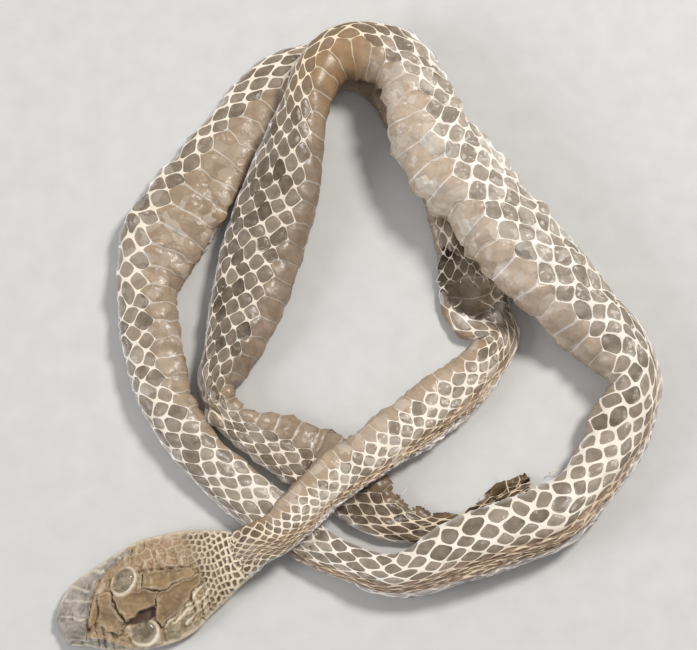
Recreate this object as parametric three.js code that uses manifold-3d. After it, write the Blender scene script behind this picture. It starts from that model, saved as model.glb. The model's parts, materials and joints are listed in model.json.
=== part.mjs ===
// A snake's shed skin, lying on a flat surface in one loose coil: one thin hollow tube of scales
// from the open mouth to the torn tail. Millimetres, +Z up, with the origin under the middle of it.
import * as THREE from "three";
import { mergeVertices } from "three/addons/utils/BufferGeometryUtils.js";
import Module from "manifold-3d";

// Driving dimensions.
const WALL = 0.75; // thickness of the skin at full girth
const WALL_SHARE = 0.3; // and never more than this share of the tube's half height
const RELIEF = 0.07; // how far a scale's middle stands over the net round it, per millimetre of half width
const GROUND_CUT = 0.85; // a lying tube is flat where its underside passes this share of its half height
const SCALE_RINGS = 2; // rings of points to each belly scute
const SCALES_MERGED = 1.25; // real scales to each modelled one, along the skin
const LEAST_SCALE = 4.4; // and the least length of a modelled one
const BORE_SIDES = 6;
const EYE_RADIUS = 2.8;
const EYE_HEIGHT = 1.5;
const EYE_STATION = 3.05; // where the eyes sit along ROUTE
const EYE_CAPS = [[-0.3, 4.7], [0.7, -8.3]]; // back from there, and to the left; the head has rolled a little
const PLATE_HEIGHT = 0.35; // how far a head plate stands over the crown
const CENTRE = new THREE.Vector2(3.4, -1.3); // middle of the coil in ROUTE's plan
const SKIN_COLOUR = 0xcdbfa8;

// The tube's stations from the snout to the torn tail, as
// [x, y, lift off the ground, half width, height, roll of the back from up towards the right, scute].
const ROUTE = [
  // The head, pressed flat.
  [-68.2, -75.7, 0, 2.6, 2.6, 0, 2.0],
  [-66.1, -74.8, 0, 5.1, 3.6, 0, 2.0],
  [-60.8, -71.9, 0, 9.0, 4.6, 0, 2.0],
  [-51.8, -69.0, 0, 11.9, 5.2, 0, 2.0],
  [-44.1, -65.9, 0, 12.8, 5.2, 0, 2.0],
  [-37.8, -62.7, 0, 11.1, 5.2, 2, 2.0],
  [-31.4, -60.2, 0.3, 8.6, 5.2, 8, 2.1],
  // The neck climbs over the coil and comes down inside it.
  [-26.0, -58.3, 2.4, 6.1, 5.0, 18, 2.1],
  [-21.7, -56.2, 6.4, 5.2, 4.7, 34, 2.2],
  [-16.9, -53.8, 6.8, 5.4, 4.6, 54, 2.4],
  [-12.4, -49.3, 6.7, 5.7, 4.8, 74, 2.7],
  [-8.4, -44.9, 6.0, 5.9, 5.0, 86, 3.0],
  [-1.6, -39.6, 5.7, 5.7, 5.4, 90, 3.4],
  [5.6, -35.1, 4.6, 5.6, 6.0, 84, 3.7],
  [12.9, -30.0, 2.0, 5.7, 6.6, 78, 4.0],
  [20.8, -23.9, 0.4, 5.9, 7.0, 74, 4.3],
  [28.3, -17.6, 0, 5.8, 7.0, 72, 4.5],
  [34.1, -10.9, 0, 5.2, 6.0, 72, 4.7],
  // The torn fold, and the flat stretch that the next turn of the coil lies on.
  [37.1, -3.8, 0, 5.5, 5.0, 52, 4.8],
  [32.6, 3.8, 0, 9.0, 4.4, 24, 5.0],
  [31.3, 12.1, 0, 8.9, 4.3, 18, 5.1],
  [28.6, 20.9, 0, 7.1, 4.2, 36, 5.3],
  [25.3, 31.1, 0, 6.3, 4.2, 62, 5.6],
  [21.3, 42.0, 0, 6.4, 4.2, 80, 5.9],
  [16.6, 53.0, 0, 6.4, 4.2, 84, 5.9],
  [11.3, 62.2, 0, 6.5, 4.2, 92, 6.0],
  [3.5, 67.8, 0, 6.2, 4.2, 104, 6.0],
  [-6.8, 69.0, 0, 7.6, 4.4, 116, 6.0],
  // Down the outer left side.
  [-17.1, 63.8, 0, 9.2, 4.8, 130, 6.1],
  [-25.8, 53.2, 0, 9.8, 5.8, 150, 6.2],
  [-34.7, 41.1, 0, 9.3, 7.6, 148, 6.1],
  [-41.5, 29.8, 0, 11.0, 8.8, 155, 5.8],
  [-47.2, 18.8, 0, 10.8, 9.0, 148, 5.4],
  [-50.2, 8.3, 0, 7.8, 9.0, 126, 5.0],
  [-49.3, -2.6, 0, 7.5, 9.0, 118, 4.8],
  [-46.9, -13.1, 0, 6.9, 8.8, 120, 4.9],
  [-42.9, -23.8, 0, 6.4, 8.2, 98, 5.1],
  [-35.8, -33.4, 0, 6.3, 7.4, 70, 5.3],
  [-27.4, -41.4, 0, 6.3, 6.5, 44, 5.4],
  [-19.4, -47.6, 0, 6.3, 5.7, 36, 5.5],
  // Along the near side, under the neck and over the tail.
  [-11.9, -53.2, 0, 5.7, 5.7, 33, 5.7],
  [-4.9, -57.8, 0, 4.9, 6.2, 32, 6.0],
  [2.0, -60.7, 0.4, 4.8, 6.8, 32, 6.1],
  [9.6, -63.0, 1.4, 5.1, 7.4, 32, 6.0],
  [16.9, -61.8, 2.4, 5.9, 8.0, 32, 6.0],
  [23.5, -58.8, 2.9, 7.1, 8.6, 32, 6.0],
  [31.8, -55.5, 2.9, 7.9, 9.0, 32, 6.0],
  [40.4, -52.7, 2.9, 8.3, 9.4, 32, 6.0],
  [48.9, -49.3, 2.6, 8.2, 9.8, 34, 6.1],
  [55.8, -43.2, 1.4, 7.1, 10.2, 38, 6.1],
  [61.8, -35.2, 0.4, 7.0, 10.6, 46, 6.1],
  [66.5, -26.1, 0, 7.5, 11.2, 58, 6.1],
  [69.9, -16.7, 0, 6.4, 11.8, 70, 6.1],
  // The fullest stretch, up the right side and over the flat one.
  [66.6, -8.3, 0, 8.1, 12.6, 80, 6.1],
  [60.6, -1.4, 0.2, 9.2, 13.0, 84, 6.2],
  [53.4, 5.4, 2.6, 10.1, 13.2, 89, 6.2],
  [45.1, 13.2, 5.0, 10.5, 13.2, 94, 6.2],
  [37.0, 23.3, 5.2, 11.1, 13.2, 99, 6.2],
  [28.4, 35.0, 5.0, 11.7, 13.2, 103, 6.2],
  [21.3, 46.9, 5.0, 10.5, 12.8, 116, 6.2],
  [17.2, 59.2, 5.0, 8.9, 12.0, 126, 6.1],
  [10.8, 67.8, 5.0, 7.6, 11.2, 112, 6.0],
  [0.9, 70.2, 5.0, 7.4, 10.6, 110, 5.9],
  [-7.0, 65.2, 5.3, 6.4, 10.0, 96, 5.7],
  // Down the inner left side to the kink.
  [-11.4, 54.2, 5.8, 6.3, 9.4, 76, 5.6],
  [-15.2, 40.9, 4.8, 8.1, 9.4, 60, 5.4],
  [-19.5, 28.0, 1.8, 9.2, 9.6, 58, 5.4],
  [-23.5, 15.0, 0.2, 8.9, 9.6, 67, 5.2],
  [-26.6, 3.0, 0, 8.3, 9.4, 69, 5.1],
  [-29.6, -7.4, 0, 6.5, 8.8, 73, 4.8],
  [-32.0, -15.5, 0, 5.1, 7.6, 80, 4.7],
  [-30.5, -21.7, 0, 4.2, 6.6, 100, 4.6],
  // Under the neck to the torn tail.
  [-25.4, -26.1, 0, 4.7, 6.0, 112, 4.8],
  [-19.2, -30.5, 0, 6.2, 5.4, 116, 4.9],
  [-12.6, -34.4, 0, 6.6, 4.8, 118, 4.9],
  [-5.6, -38.9, 0, 6.6, 4.6, 120, 5.0],
  [1.6, -43.9, 0, 6.0, 4.6, 112, 5.1],
  [9.0, -48.0, 0, 6.3, 4.4, 90, 5.2],
  [16.5, -50.6, 0, 5.1, 3.2, 76, 5.3],
  [24.2, -50.2, 0, 3.9, 2.2, 72, 5.3],
  [32.3, -46.8, 0, 3.3, 2.0, 72, 5.3],
  [40.1, -42.4, 0, 3.4, 2.4, 76, 5.3],
  [48.0, -39.3, 0, 2.9, 2.6, 80, 5.3],
];
const [X, Y, LIFT, HALF_WIDTH, HEIGHT, ROLL, SCUTE] = [0, 1, 2, 3, 4, 5, 6];

// Middles of the columns of scales on one half, from the mid back (0) to the mid belly (1),
// as shares of the half girth; the last three make the wide belly scutes.
const HALF_COLUMNS = [0, 0.107, 0.217, 0.33, 0.451, 0.583, 0.79, 1];
const BELLY_COLUMN = 6; // the first column of the belly
const COLUMNS = [...HALF_COLUMNS, ...HALF_COLUMNS.slice(1, -1).reverse().map((share) => -share)];

// The tear in the upper wall at the fold, in ROUTE's plan.
const TEAR = [
  [24.6, 9.6], [28.1, 9.3], [30.6, 6.7], [32.6, 9.3], [34.3, 10.3], [36.8, 8.5],
  [39.4, 4.6], [38.6, 1.8], [32.5, 0.5], [27.4, 2.1], [24.8, 5.2],
];
const TEAR_FROM = 2.6; // height above which the wall is open
const TEAR_DEPTH = 2.6; // up to under the turn of the coil that lies over it

// Plates on the crown, in plan along (back from the snout) and across (towards the left) of the
// middle between the eyes.
const CROWN_PLATES = [
  [[-8.5, -3.2], [-6.9, 3.4], [-4.7, 3.2], [-4.8, 0.0], [-3.3, -4.6], [-4.9, -6.9]],
  [[-4.0, 1.6], [4.0, 0.6], [6.6, -0.8], [4.6, -3.3], [-2.2, -4.6], [-3.4, -0.6]],
  [[4.8, 4.8], [11.4, 2.8], [15.0, 1.1], [15.8, -0.8], [7.1, -0.5], [3.6, 1.6]],
  [[7.3, -1.1], [17.6, -1.3], [16.2, -3.0], [8.8, -6.8], [4.3, -8.3], [5.4, -3.8]],
];

const rad = THREE.MathUtils.degToRad;

// One column of ROUTE, eased between its stations by a Catmull-Rom curve.
function along(station, column) {
  const last = ROUTE.length - 1;
  const i = Math.min(Math.floor(station), last - 1);
  const f = station - i;
  const [a, b, c, d] = [i - 1, i, i + 1, i + 2].map((k) => ROUTE[Math.min(Math.max(k, 0), last)][column]);
  return b + 0.5 * f * (c - a + f * (2 * a - 5 * b + 4 * c - d + f * (3 * (b - c) + d - a)));
}

// The tube's middle, its axes and its sizes at one station.
function frameAt(station) {
  const middle = new THREE.Vector3(
    along(station, X) - CENTRE.x,
    along(station, Y) - CENTRE.y,
    along(station, LIFT),
  );
  const step = 0.02;
  const ahead = Math.min(station + step, ROUTE.length - 1);
  const behind = Math.max(station - step, 0);
  const tangent = new THREE.Vector3(
    along(ahead, X) - along(behind, X),
    along(ahead, Y) - along(behind, Y),
    along(ahead, LIFT) - along(behind, LIFT),
  ).normalize();
  const right = new THREE.Vector3().crossVectors(tangent, new THREE.Vector3(0, 0, 1)).normalize();
  const up = new THREE.Vector3().crossVectors(right, tangent);
  const halfHeight = along(station, HEIGHT) / (1 + GROUND_CUT);
  middle.z += GROUND_CUT * halfHeight;
  return {
    middle,
    right,
    up,
    halfWidth: along(station, HALF_WIDTH),
    halfHeight,
    roll: rad(along(station, ROLL)),
    floor: Math.max(0, along(station, LIFT)),
  };
}

// Angles round an ellipse at given shares of its girth from the mid back.
function anglesAtShares(frame, shares) {
  const steps = 120;
  const lengths = [0];
  for (let k = 1; k <= steps; k++) {
    const angle = frame.roll + ((k - 0.5) / steps) * 2 * Math.PI;
    const speed = Math.hypot(frame.halfWidth * Math.cos(angle), frame.halfHeight * Math.sin(angle));
    lengths.push(lengths[k - 1] + speed);
  }
  return shares.map((share) => {
    const target = (((share / 2) % 1) + 1) % 1 * lengths[steps];
    let k = 0;
    while (k < steps - 1 && lengths[k + 1] <= target) k++;
    const part = (target - lengths[k]) / (lengths[k + 1] - lengths[k]);
    return frame.roll + ((k + part) / steps) * 2 * Math.PI;
  });
}

// A point on the tube's section, pushed out by a height, and never under what it lies on.
function sectionPoint(frame, angle, out, inset = 0) {
  const across = (frame.halfWidth - inset) * Math.sin(angle);
  const rise = (frame.halfHeight - inset) * Math.cos(angle);
  const normal = new THREE.Vector2(across / frame.halfWidth ** 2, rise / frame.halfHeight ** 2).normalize();
  const point = frame.middle
    .clone()
    .addScaledVector(frame.right, across + out * normal.x)
    .addScaledVector(frame.up, rise + out * normal.y);
  point.z = Math.max(point.z, frame.floor + inset);
  return point;
}

// Stations of the rings, a fixed number to each scute whatever its local length.
function ringStations() {
  const perStation = 30;
  const stations = [0];
  let count = 0;
  for (let k = 1; k <= (ROUTE.length - 1) * perStation; k++) {
    const here = k / perStation;
    const before = (k - 1) / perStation;
    const step = Math.hypot(along(here, X) - along(before, X), along(here, Y) - along(before, Y));
    const scale = Math.max(along(here, SCUTE) * SCALES_MERGED, LEAST_SCALE);
    count += (step / scale) * SCALE_RINGS;
    if (count >= stations.length) stations.push(here);
  }
  return stations;
}

// A closed skin over rings of equal point counts: bands between them and a fan over each end.
function closedLoft(rings, isLow) {
  const sides = rings[0].length;
  const positions = rings.flat().flatMap((point) => point.toArray());
  const faces = [];
  const at = (i, j) => i * sides + (j % sides);
  for (let i = 0; i < rings.length - 1; i++) {
    for (let j = 0; j < sides; j++) {
      const [a, b, c, d] = [at(i, j), at(i, j + 1), at(i + 1, j + 1), at(i + 1, j)];
      if (isLow(i, j % sides) && isLow(i + 1, (j + 1) % sides)) faces.push(a, b, c, a, c, d);
      else faces.push(a, b, d, b, c, d);
    }
  }
  for (const [ring, flip] of [[0, true], [rings.length - 1, false]]) {
    const hub = positions.length / 3;
    const middle = rings[ring].reduce((sum, p) => sum.add(p), new THREE.Vector3()).divideScalar(sides);
    positions.push(...middle.toArray());
    for (let j = 0; j < sides; j++) {
      const [a, b] = [at(ring, j), at(ring, j + 1)];
      faces.push(...(flip ? [hub, b, a] : [hub, a, b]));
    }
  }
  const geometry = new THREE.BufferGeometry();
  geometry.setAttribute("position", new THREE.Float32BufferAttribute(positions, 3));
  geometry.setIndex(faces);
  return geometry;
}

// A scale's middle is high and the net between scales is low: every other point on the back,
// and every other ring on the belly.
function isNet(ring, column) {
  const onBelly = column >= BELLY_COLUMN && column <= COLUMNS.length - BELLY_COLUMN;
  return (onBelly ? ring : ring + column) % 2 === 1;
}

function outerSkin(stations) {
  const rings = stations.map((station, i) => {
    const frame = frameAt(station);
    const relief = RELIEF * frame.halfWidth;
    return anglesAtShares(frame, COLUMNS).map((angle, j) => sectionPoint(frame, angle, isNet(i, j) ? -relief / 2 : relief / 2));
  });
  return closedLoft(rings, isNet);
}

// The hollow inside, run out past both ends so that the mouth and the tail are open.
function bore(stations) {
  const shares = Array.from({ length: BORE_SIDES }, (_, k) => (2 * k) / BORE_SIDES + 1 / BORE_SIDES);
  const every = stations.filter((_, i) => i % SCALE_RINGS === 0 || i === stations.length - 1);
  const rings = every.map((station) => {
    const frame = frameAt(station);
    const wall = Math.min(WALL, WALL_SHARE * frame.halfHeight);
    const level = { ...frame, roll: 0 };
    return anglesAtShares(level, shares).map((angle) => sectionPoint(level, angle, 0, wall));
  });
  const runOut = (end, next) => {
    const shift = rings[end][0].clone().sub(rings[next][0]).normalize();
    return rings[end].map((point) => point.clone().add(shift));
  };
  return closedLoft([runOut(0, 1), ...rings, runOut(rings.length - 1, rings.length - 2)], () => false);
}

// Along and across the head, from the middle between the eyes.
function headPlace(back, left) {
  const frame = frameAt(EYE_STATION);
  const tangent = new THREE.Vector3().crossVectors(frame.up, frame.right);
  return frame.middle.clone().addScaledVector(tangent, back).addScaledVector(frame.right, -left);
}

// The crown's height over one place of the head's flat section.
function crownHeight(across) {
  const frame = frameAt(EYE_STATION);
  return frame.middle.z + frame.halfHeight * Math.sqrt(1 - (across / frame.halfWidth) ** 2);
}

function eyeCap(back, left) {
  const geometry = new THREE.SphereGeometry(EYE_RADIUS, 14, 8);
  geometry.rotateX(Math.PI / 2);
  geometry.scale(1, 1, EYE_HEIGHT / EYE_RADIUS);
  const place = headPlace(back, left);
  geometry.translate(place.x, place.y, crownHeight(left) - 0.1);
  return geometry;
}

function flatPiece(points, from, height) {
  const outline = new THREE.Shape(points.map(([x, y]) => new THREE.Vector2(x, y)));
  const geometry = new THREE.ExtrudeGeometry(outline, { depth: height, bevelEnabled: false });
  geometry.translate(0, 0, from);
  return geometry;
}

function crownPlate(points) {
  const plan = points.map(([back, left]) => headPlace(back, left)).map((place) => [place.x, place.y]);
  const furthest = Math.max(...points.map(([, left]) => Math.abs(left)));
  return flatPiece(plan, crownHeight(furthest) - 1.2, 1.2 + PLATE_HEIGHT);
}

function tearCut() {
  const plan = TEAR.map(([x, y]) => [x - CENTRE.x, y - CENTRE.y]);
  return flatPiece(plan, TEAR_FROM, TEAR_DEPTH);
}

const wasm = await Module();
wasm.setup();

function solid(geometry) {
  geometry.deleteAttribute("normal");
  geometry.deleteAttribute("uv");
  const merged = mergeVertices(geometry, 1e-4);
  return new wasm.Manifold(
    new wasm.Mesh({
      numProp: 3,
      vertProperties: new Float32Array(merged.attributes.position.array),
      triVerts: new Uint32Array(merged.index.array),
    }),
  );
}

function geometryOf(manifold) {
  const { vertProperties, triVerts } = manifold.getMesh();
  const geometry = new THREE.BufferGeometry();
  geometry.setAttribute("position", new THREE.BufferAttribute(vertProperties, 3));
  geometry.setIndex(new THREE.BufferAttribute(triVerts, 1));
  geometry.computeVertexNormals();
  return geometry;
}

function shedSkin() {
  const stations = ringStations();
  let skin = solid(outerSkin(stations));
  for (const [back, left] of EYE_CAPS) skin = skin.add(solid(eyeCap(back, left)));
  for (const plate of CROWN_PLATES) skin = skin.add(solid(crownPlate(plate)));
  skin = skin.subtract(solid(bore(stations))).subtract(solid(tearCut()));
  return geometryOf(skin);
}

const skin = new THREE.Mesh(
  shedSkin(),
  new THREE.MeshStandardMaterial({ color: SKIN_COLOUR, roughness: 0.55, metalness: 0 }),
);
skin.name = "shed_skin";

const shed = new THREE.Group();
shed.add(skin);

export default shed;
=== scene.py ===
# %% [markdown]
# # A shed snake skin
# A snake leaves its old skin like a stocking pulled off inside out: one thin hollow tube of dry
# keratin from the lips to the tail. The back and sides carry rows of small scales in a pale net
# of hinge skin, the belly has one broad scute after another, and the head has plates and the
# two clear caps that covered the eyes. This lesson makes one that lies in a loose flat coil.
# The order is: the frame, the camera, the path of the tube, a flat pattern of scales made with
# Geometry Nodes, rolling that pattern up into the tube, its folds and tears, and the head.

import json
import math

import bpy
import numpy as np
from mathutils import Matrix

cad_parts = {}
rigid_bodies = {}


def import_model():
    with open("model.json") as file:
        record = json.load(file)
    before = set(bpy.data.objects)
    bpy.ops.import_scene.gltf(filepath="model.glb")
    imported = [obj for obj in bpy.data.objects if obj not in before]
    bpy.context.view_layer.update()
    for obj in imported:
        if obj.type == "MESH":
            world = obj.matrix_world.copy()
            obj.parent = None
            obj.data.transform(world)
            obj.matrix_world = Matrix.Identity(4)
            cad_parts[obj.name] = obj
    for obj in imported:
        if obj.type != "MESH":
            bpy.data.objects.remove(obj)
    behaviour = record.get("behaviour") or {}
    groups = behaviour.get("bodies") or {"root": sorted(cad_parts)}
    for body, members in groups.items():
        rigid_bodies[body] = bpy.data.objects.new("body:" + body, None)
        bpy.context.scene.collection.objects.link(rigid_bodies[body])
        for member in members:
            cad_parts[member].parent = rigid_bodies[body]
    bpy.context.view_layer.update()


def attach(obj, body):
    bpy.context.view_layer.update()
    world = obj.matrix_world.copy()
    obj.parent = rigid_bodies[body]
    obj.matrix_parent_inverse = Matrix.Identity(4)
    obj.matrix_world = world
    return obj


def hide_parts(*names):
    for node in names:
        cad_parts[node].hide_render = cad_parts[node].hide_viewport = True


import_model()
MM = 0.001
BODY = "root"
NODE = "shed_skin"

# %% [markdown]
# ## The camera
# The skin lies on a flat surface and is looked at from nearly overhead, leaning back a little,
# so the camera stands high over the near side. It aims at the middle of the coil. What it makes
# is 697 pixels wide and 650 high, and the sensor's width goes with the longer side.

# %% Camera
CAMERA_TILT = math.radians(74)
CAMERA_DISTANCE = 0.420
CAMERA_AIM = (-0.0034, 0.0013, 0.0)
PIXEL, PIXELS_WIDE = 0.25, 697  # one pixel shows this many mm of the ground
FIELD_WIDTH = PIXEL * PIXELS_WIDE * MM
SENSOR = 36.0


def put(name, data):
    """A new object in the scene."""
    thing = bpy.data.objects.new(name, data)
    bpy.context.scene.collection.objects.link(thing)
    return thing


def add_camera():
    data = bpy.data.cameras.new("camera")
    camera = put("camera", data)
    data.sensor_fit = "HORIZONTAL"
    data.sensor_width = SENSOR
    data.lens = SENSOR * CAMERA_DISTANCE / FIELD_WIDTH
    data.clip_start = 0.01
    data.clip_end = 10
    back = (0, -math.cos(CAMERA_TILT), math.sin(CAMERA_TILT))
    camera.location = [aim + CAMERA_DISTANCE * step for aim, step in zip(CAMERA_AIM, back)]
    camera.rotation_euler = (math.pi / 2 - CAMERA_TILT, 0, 0)
    bpy.context.scene.camera = camera
    return camera


camera = add_camera()
print("lens:", round(camera.data.lens, 1), "mm")

# %% [markdown]
# ## The path of the tube
# The tube is known by stations from the snout to the torn tail. Each gives the place of its
# middle in plan, how high it is lifted off the ground where it crosses itself, its half width
# and height, how far its back has rolled from up towards the right, and the length of one belly
# scute there. A Catmull-Rom curve eases between them. It is the same list as the solid model's,
# so the skin made here lies exactly where the solid one does.

# %% Stations: x, y, lift, half width, height, roll, scute (mm and degrees)
ROUTE = np.array([
    # The head, pressed flat.
    (-68.2, -75.7, 0, 2.6, 2.6, 0, 2.0),
    (-66.1, -74.8, 0, 5.1, 3.6, 0, 2.0),
    (-60.8, -71.9, 0, 9.0, 4.6, 0, 2.0),
    (-51.8, -69.0, 0, 11.9, 5.2, 0, 2.0),
    (-44.1, -65.9, 0, 12.8, 5.2, 0, 2.0),
    (-37.8, -62.7, 0, 11.1, 5.2, 2, 2.0),
    (-31.4, -60.2, 0.3, 8.6, 5.2, 8, 2.1),
    # The neck climbs over the coil and comes down inside it.
    (-26.0, -58.3, 2.4, 6.1, 5.0, 18, 2.1),
    (-21.7, -56.2, 6.4, 5.2, 4.7, 34, 2.2),
    (-16.9, -53.8, 6.8, 5.4, 4.6, 54, 2.4),
    (-12.4, -49.3, 6.7, 5.7, 4.8, 74, 2.7),
    (-8.4, -44.9, 6.0, 5.9, 5.0, 86, 3.0),
    (-1.6, -39.6, 5.7, 5.7, 5.4, 90, 3.4),
    (5.6, -35.1, 4.6, 5.6, 6.0, 84, 3.7),
    (12.9, -30.0, 2.0, 5.7, 6.6, 78, 4.0),
    (20.8, -23.9, 0.4, 5.9, 7.0, 74, 4.3),
    (28.3, -17.6, 0, 5.8, 7.0, 72, 4.5),
    (34.1, -10.9, 0, 5.2, 6.0, 72, 4.7),
    # The torn fold, and the flat stretch that the next turn of the coil lies on.
    (37.1, -3.8, 0, 5.5, 5.0, 52, 4.8),
    (32.6, 3.8, 0, 9.0, 4.4, 24, 5.0),
    (31.3, 12.1, 0, 8.9, 4.3, 18, 5.1),
    (28.6, 20.9, 0, 7.1, 4.2, 36, 5.3),
    (25.3, 31.1, 0, 6.3, 4.2, 62, 5.6),
    (21.3, 42.0, 0, 6.4, 4.2, 80, 5.9),
    (16.6, 53.0, 0, 6.4, 4.2, 84, 5.9),
    (11.3, 62.2, 0, 6.5, 4.2, 92, 6.0),
    (3.5, 67.8, 0, 6.2, 4.2, 104, 6.0),
    (-6.8, 69.0, 0, 7.6, 4.4, 116, 6.0),
    # Down the outer left side.
    (-17.1, 63.8, 0, 9.2, 4.8, 130, 6.1),
    (-25.8, 53.2, 0, 9.8, 5.8, 150, 6.2),
    (-34.7, 41.1, 0, 9.3, 7.6, 148, 6.1),
    (-41.5, 29.8, 0, 11.0, 8.8, 155, 5.8),
    (-47.2, 18.8, 0, 10.8, 9.0, 148, 5.4),
    (-50.2, 8.3, 0, 7.8, 9.0, 126, 5.0),
    (-49.3, -2.6, 0, 7.5, 9.0, 118, 4.8),
    (-46.9, -13.1, 0, 6.9, 8.8, 120, 4.9),
    (-42.9, -23.8, 0, 6.4, 8.2, 98, 5.1),
    (-35.8, -33.4, 0, 6.3, 7.4, 70, 5.3),
    (-27.4, -41.4, 0, 6.3, 6.5, 44, 5.4),
    (-19.4, -47.6, 0, 6.3, 5.7, 36, 5.5),
    # Along the near side, under the neck and over the tail.
    (-11.9, -53.2, 0, 5.7, 5.7, 33, 5.7),
    (-4.9, -57.8, 0, 4.9, 6.2, 32, 6.0),
    (2.0, -60.7, 0.4, 4.8, 6.8, 32, 6.1),
    (9.6, -63.0, 1.4, 5.1, 7.4, 32, 6.0),
    (16.9, -61.8, 2.4, 5.9, 8.0, 32, 6.0),
    (23.5, -58.8, 2.9, 7.1, 8.6, 32, 6.0),
    (31.8, -55.5, 2.9, 7.9, 9.0, 32, 6.0),
    (40.4, -52.7, 2.9, 8.3, 9.4, 32, 6.0),
    (48.9, -49.3, 2.6, 8.2, 9.8, 34, 6.1),
    (55.8, -43.2, 1.4, 7.1, 10.2, 38, 6.1),
    (61.8, -35.2, 0.4, 7.0, 10.6, 46, 6.1),
    (66.5, -26.1, 0, 7.5, 11.2, 58, 6.1),
    (69.9, -16.7, 0, 6.4, 11.8, 70, 6.1),
    # The fullest stretch, up the right side and over the flat one.
    (66.6, -8.3, 0, 8.1, 12.6, 80, 6.1),
    (60.6, -1.4, 0.2, 9.2, 13.0, 84, 6.2),
    (53.4, 5.4, 2.6, 10.1, 13.2, 89, 6.2),
    (45.1, 13.2, 5.0, 10.5, 13.2, 94, 6.2),
    (37.0, 23.3, 5.2, 11.1, 13.2, 99, 6.2),
    (28.4, 35.0, 5.0, 11.7, 13.2, 103, 6.2),
    (21.3, 46.9, 5.0, 10.5, 12.8, 116, 6.2),
    (17.2, 59.2, 5.0, 8.9, 12.0, 126, 6.1),
    (10.8, 67.8, 5.0, 7.6, 11.2, 112, 6.0),
    (0.9, 70.2, 5.0, 7.4, 10.6, 110, 5.9),
    (-7.0, 65.2, 5.3, 6.4, 10.0, 96, 5.7),
    # Down the inner left side to the kink.
    (-11.4, 54.2, 5.8, 6.3, 9.4, 76, 5.6),
    (-15.2, 40.9, 4.8, 8.1, 9.4, 60, 5.4),
    (-19.5, 28.0, 1.8, 9.2, 9.6, 58, 5.4),
    (-23.5, 15.0, 0.2, 8.9, 9.6, 67, 5.2),
    (-26.6, 3.0, 0, 8.3, 9.4, 69, 5.1),
    (-29.6, -7.4, 0, 6.5, 8.8, 73, 4.8),
    (-32.0, -15.5, 0, 5.1, 7.6, 80, 4.7),
    (-30.5, -21.7, 0, 4.2, 6.6, 100, 4.6),
    # Under the neck to the torn tail.
    (-25.4, -26.1, 0, 4.7, 6.0, 112, 4.8),
    (-19.2, -30.5, 0, 6.2, 5.4, 116, 4.9),
    (-12.6, -34.4, 0, 6.6, 4.8, 118, 4.9),
    (-5.6, -38.9, 0, 6.6, 4.6, 120, 5.0),
    (1.6, -43.9, 0, 6.0, 4.6, 112, 5.1),
    (9.0, -48.0, 0, 6.3, 4.4, 90, 5.2),
    (16.5, -50.6, 0, 5.1, 3.2, 76, 5.3),
    (24.2, -50.2, 0, 3.9, 2.2, 72, 5.3),
    (32.3, -46.8, 0, 3.3, 2.0, 72, 5.3),
    (40.1, -42.4, 0, 3.4, 2.4, 76, 5.3),
    (48.0, -39.3, 0, 2.9, 2.6, 80, 5.3),
])
X, Y, LIFT, HALF_WIDTH, HEIGHT, ROLL, SCUTE = range(7)
LAST = len(ROUTE) - 1
COIL_MIDDLE = (3.4, -1.3)
GROUND_CUT = 0.85  # a lying tube is flat where its underside passes this share of its half height
FULL_GIRTH = 56.3  # round the tube where it is fullest
FINE = 24  # samples between two stations
print(len(ROUTE), "stations")

# %% [markdown]
# Here and there a fold of the skin lies pressed out flat along the left of the tube. Such a flap
# is only the film lying double, so it is left to this mesh: it widens the ellipse on one side.

# %% Folds pressed out flat on the left: station, and by how many mm
FLAPS = {
    12: 0.8, 13: 1.6, 14: 3.1, 15: 3.2, 16: 2.3, 17: 1.1,
    65: 1.0, 66: 2.0, 67: 2.3, 68: 1.8, 69: 1.2,
    73: 1.7, 74: 2.6, 75: 3.6, 76: 3.4, 77: 0.6,
}


def press_out(flaps):
    plan = ROUTE[:, :2].copy()
    for station, by in flaps.items():
        ahead = plan[station + 1] - plan[station - 1]
        left = np.array([-ahead[1], ahead[0]]) / np.hypot(*ahead)
        ROUTE[station, :2] += left * by / 2
        ROUTE[station, HALF_WIDTH] += by / 2


press_out(FLAPS)
print("widest flap:", max(FLAPS.values()), "mm")

# %% Reading the path: any column, at any station
def along(station, column):
    t = np.clip(station, 0, LAST)
    i = np.minimum(t.astype(int), LAST - 1)
    f = t - i
    a, b, c, d = (ROUTE[np.clip(i + k, 0, LAST), column] for k in (-1, 0, 1, 2))
    return b + 0.5 * f * (c - a + f * (2 * a - 5 * b + 4 * c - d + f * (3 * (b - c) + d - a)))


fine = np.arange(LAST * FINE + 1) / FINE
steps = np.hypot(np.diff(along(fine, X)), np.diff(along(fine, Y)))
mileage = np.concatenate([[0], np.cumsum(steps)])
print("length from snout to tail:", round(mileage[-1]), "mm")

# %% [markdown]
# ## A point on the tube
# Across, the tube is an ellipse that sinks a little into the ground and is flat there. Scales
# are spread evenly along the skin's girth and not by angle, so a table of arc lengths turns a
# share of the girth, counted from the middle of the back, into an angle round the ellipse.

# %% Turning a share of the girth into an angle, and that into a place
ANGLE_STEPS = 180
SHARES = np.linspace(0, 1, 201)


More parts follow.
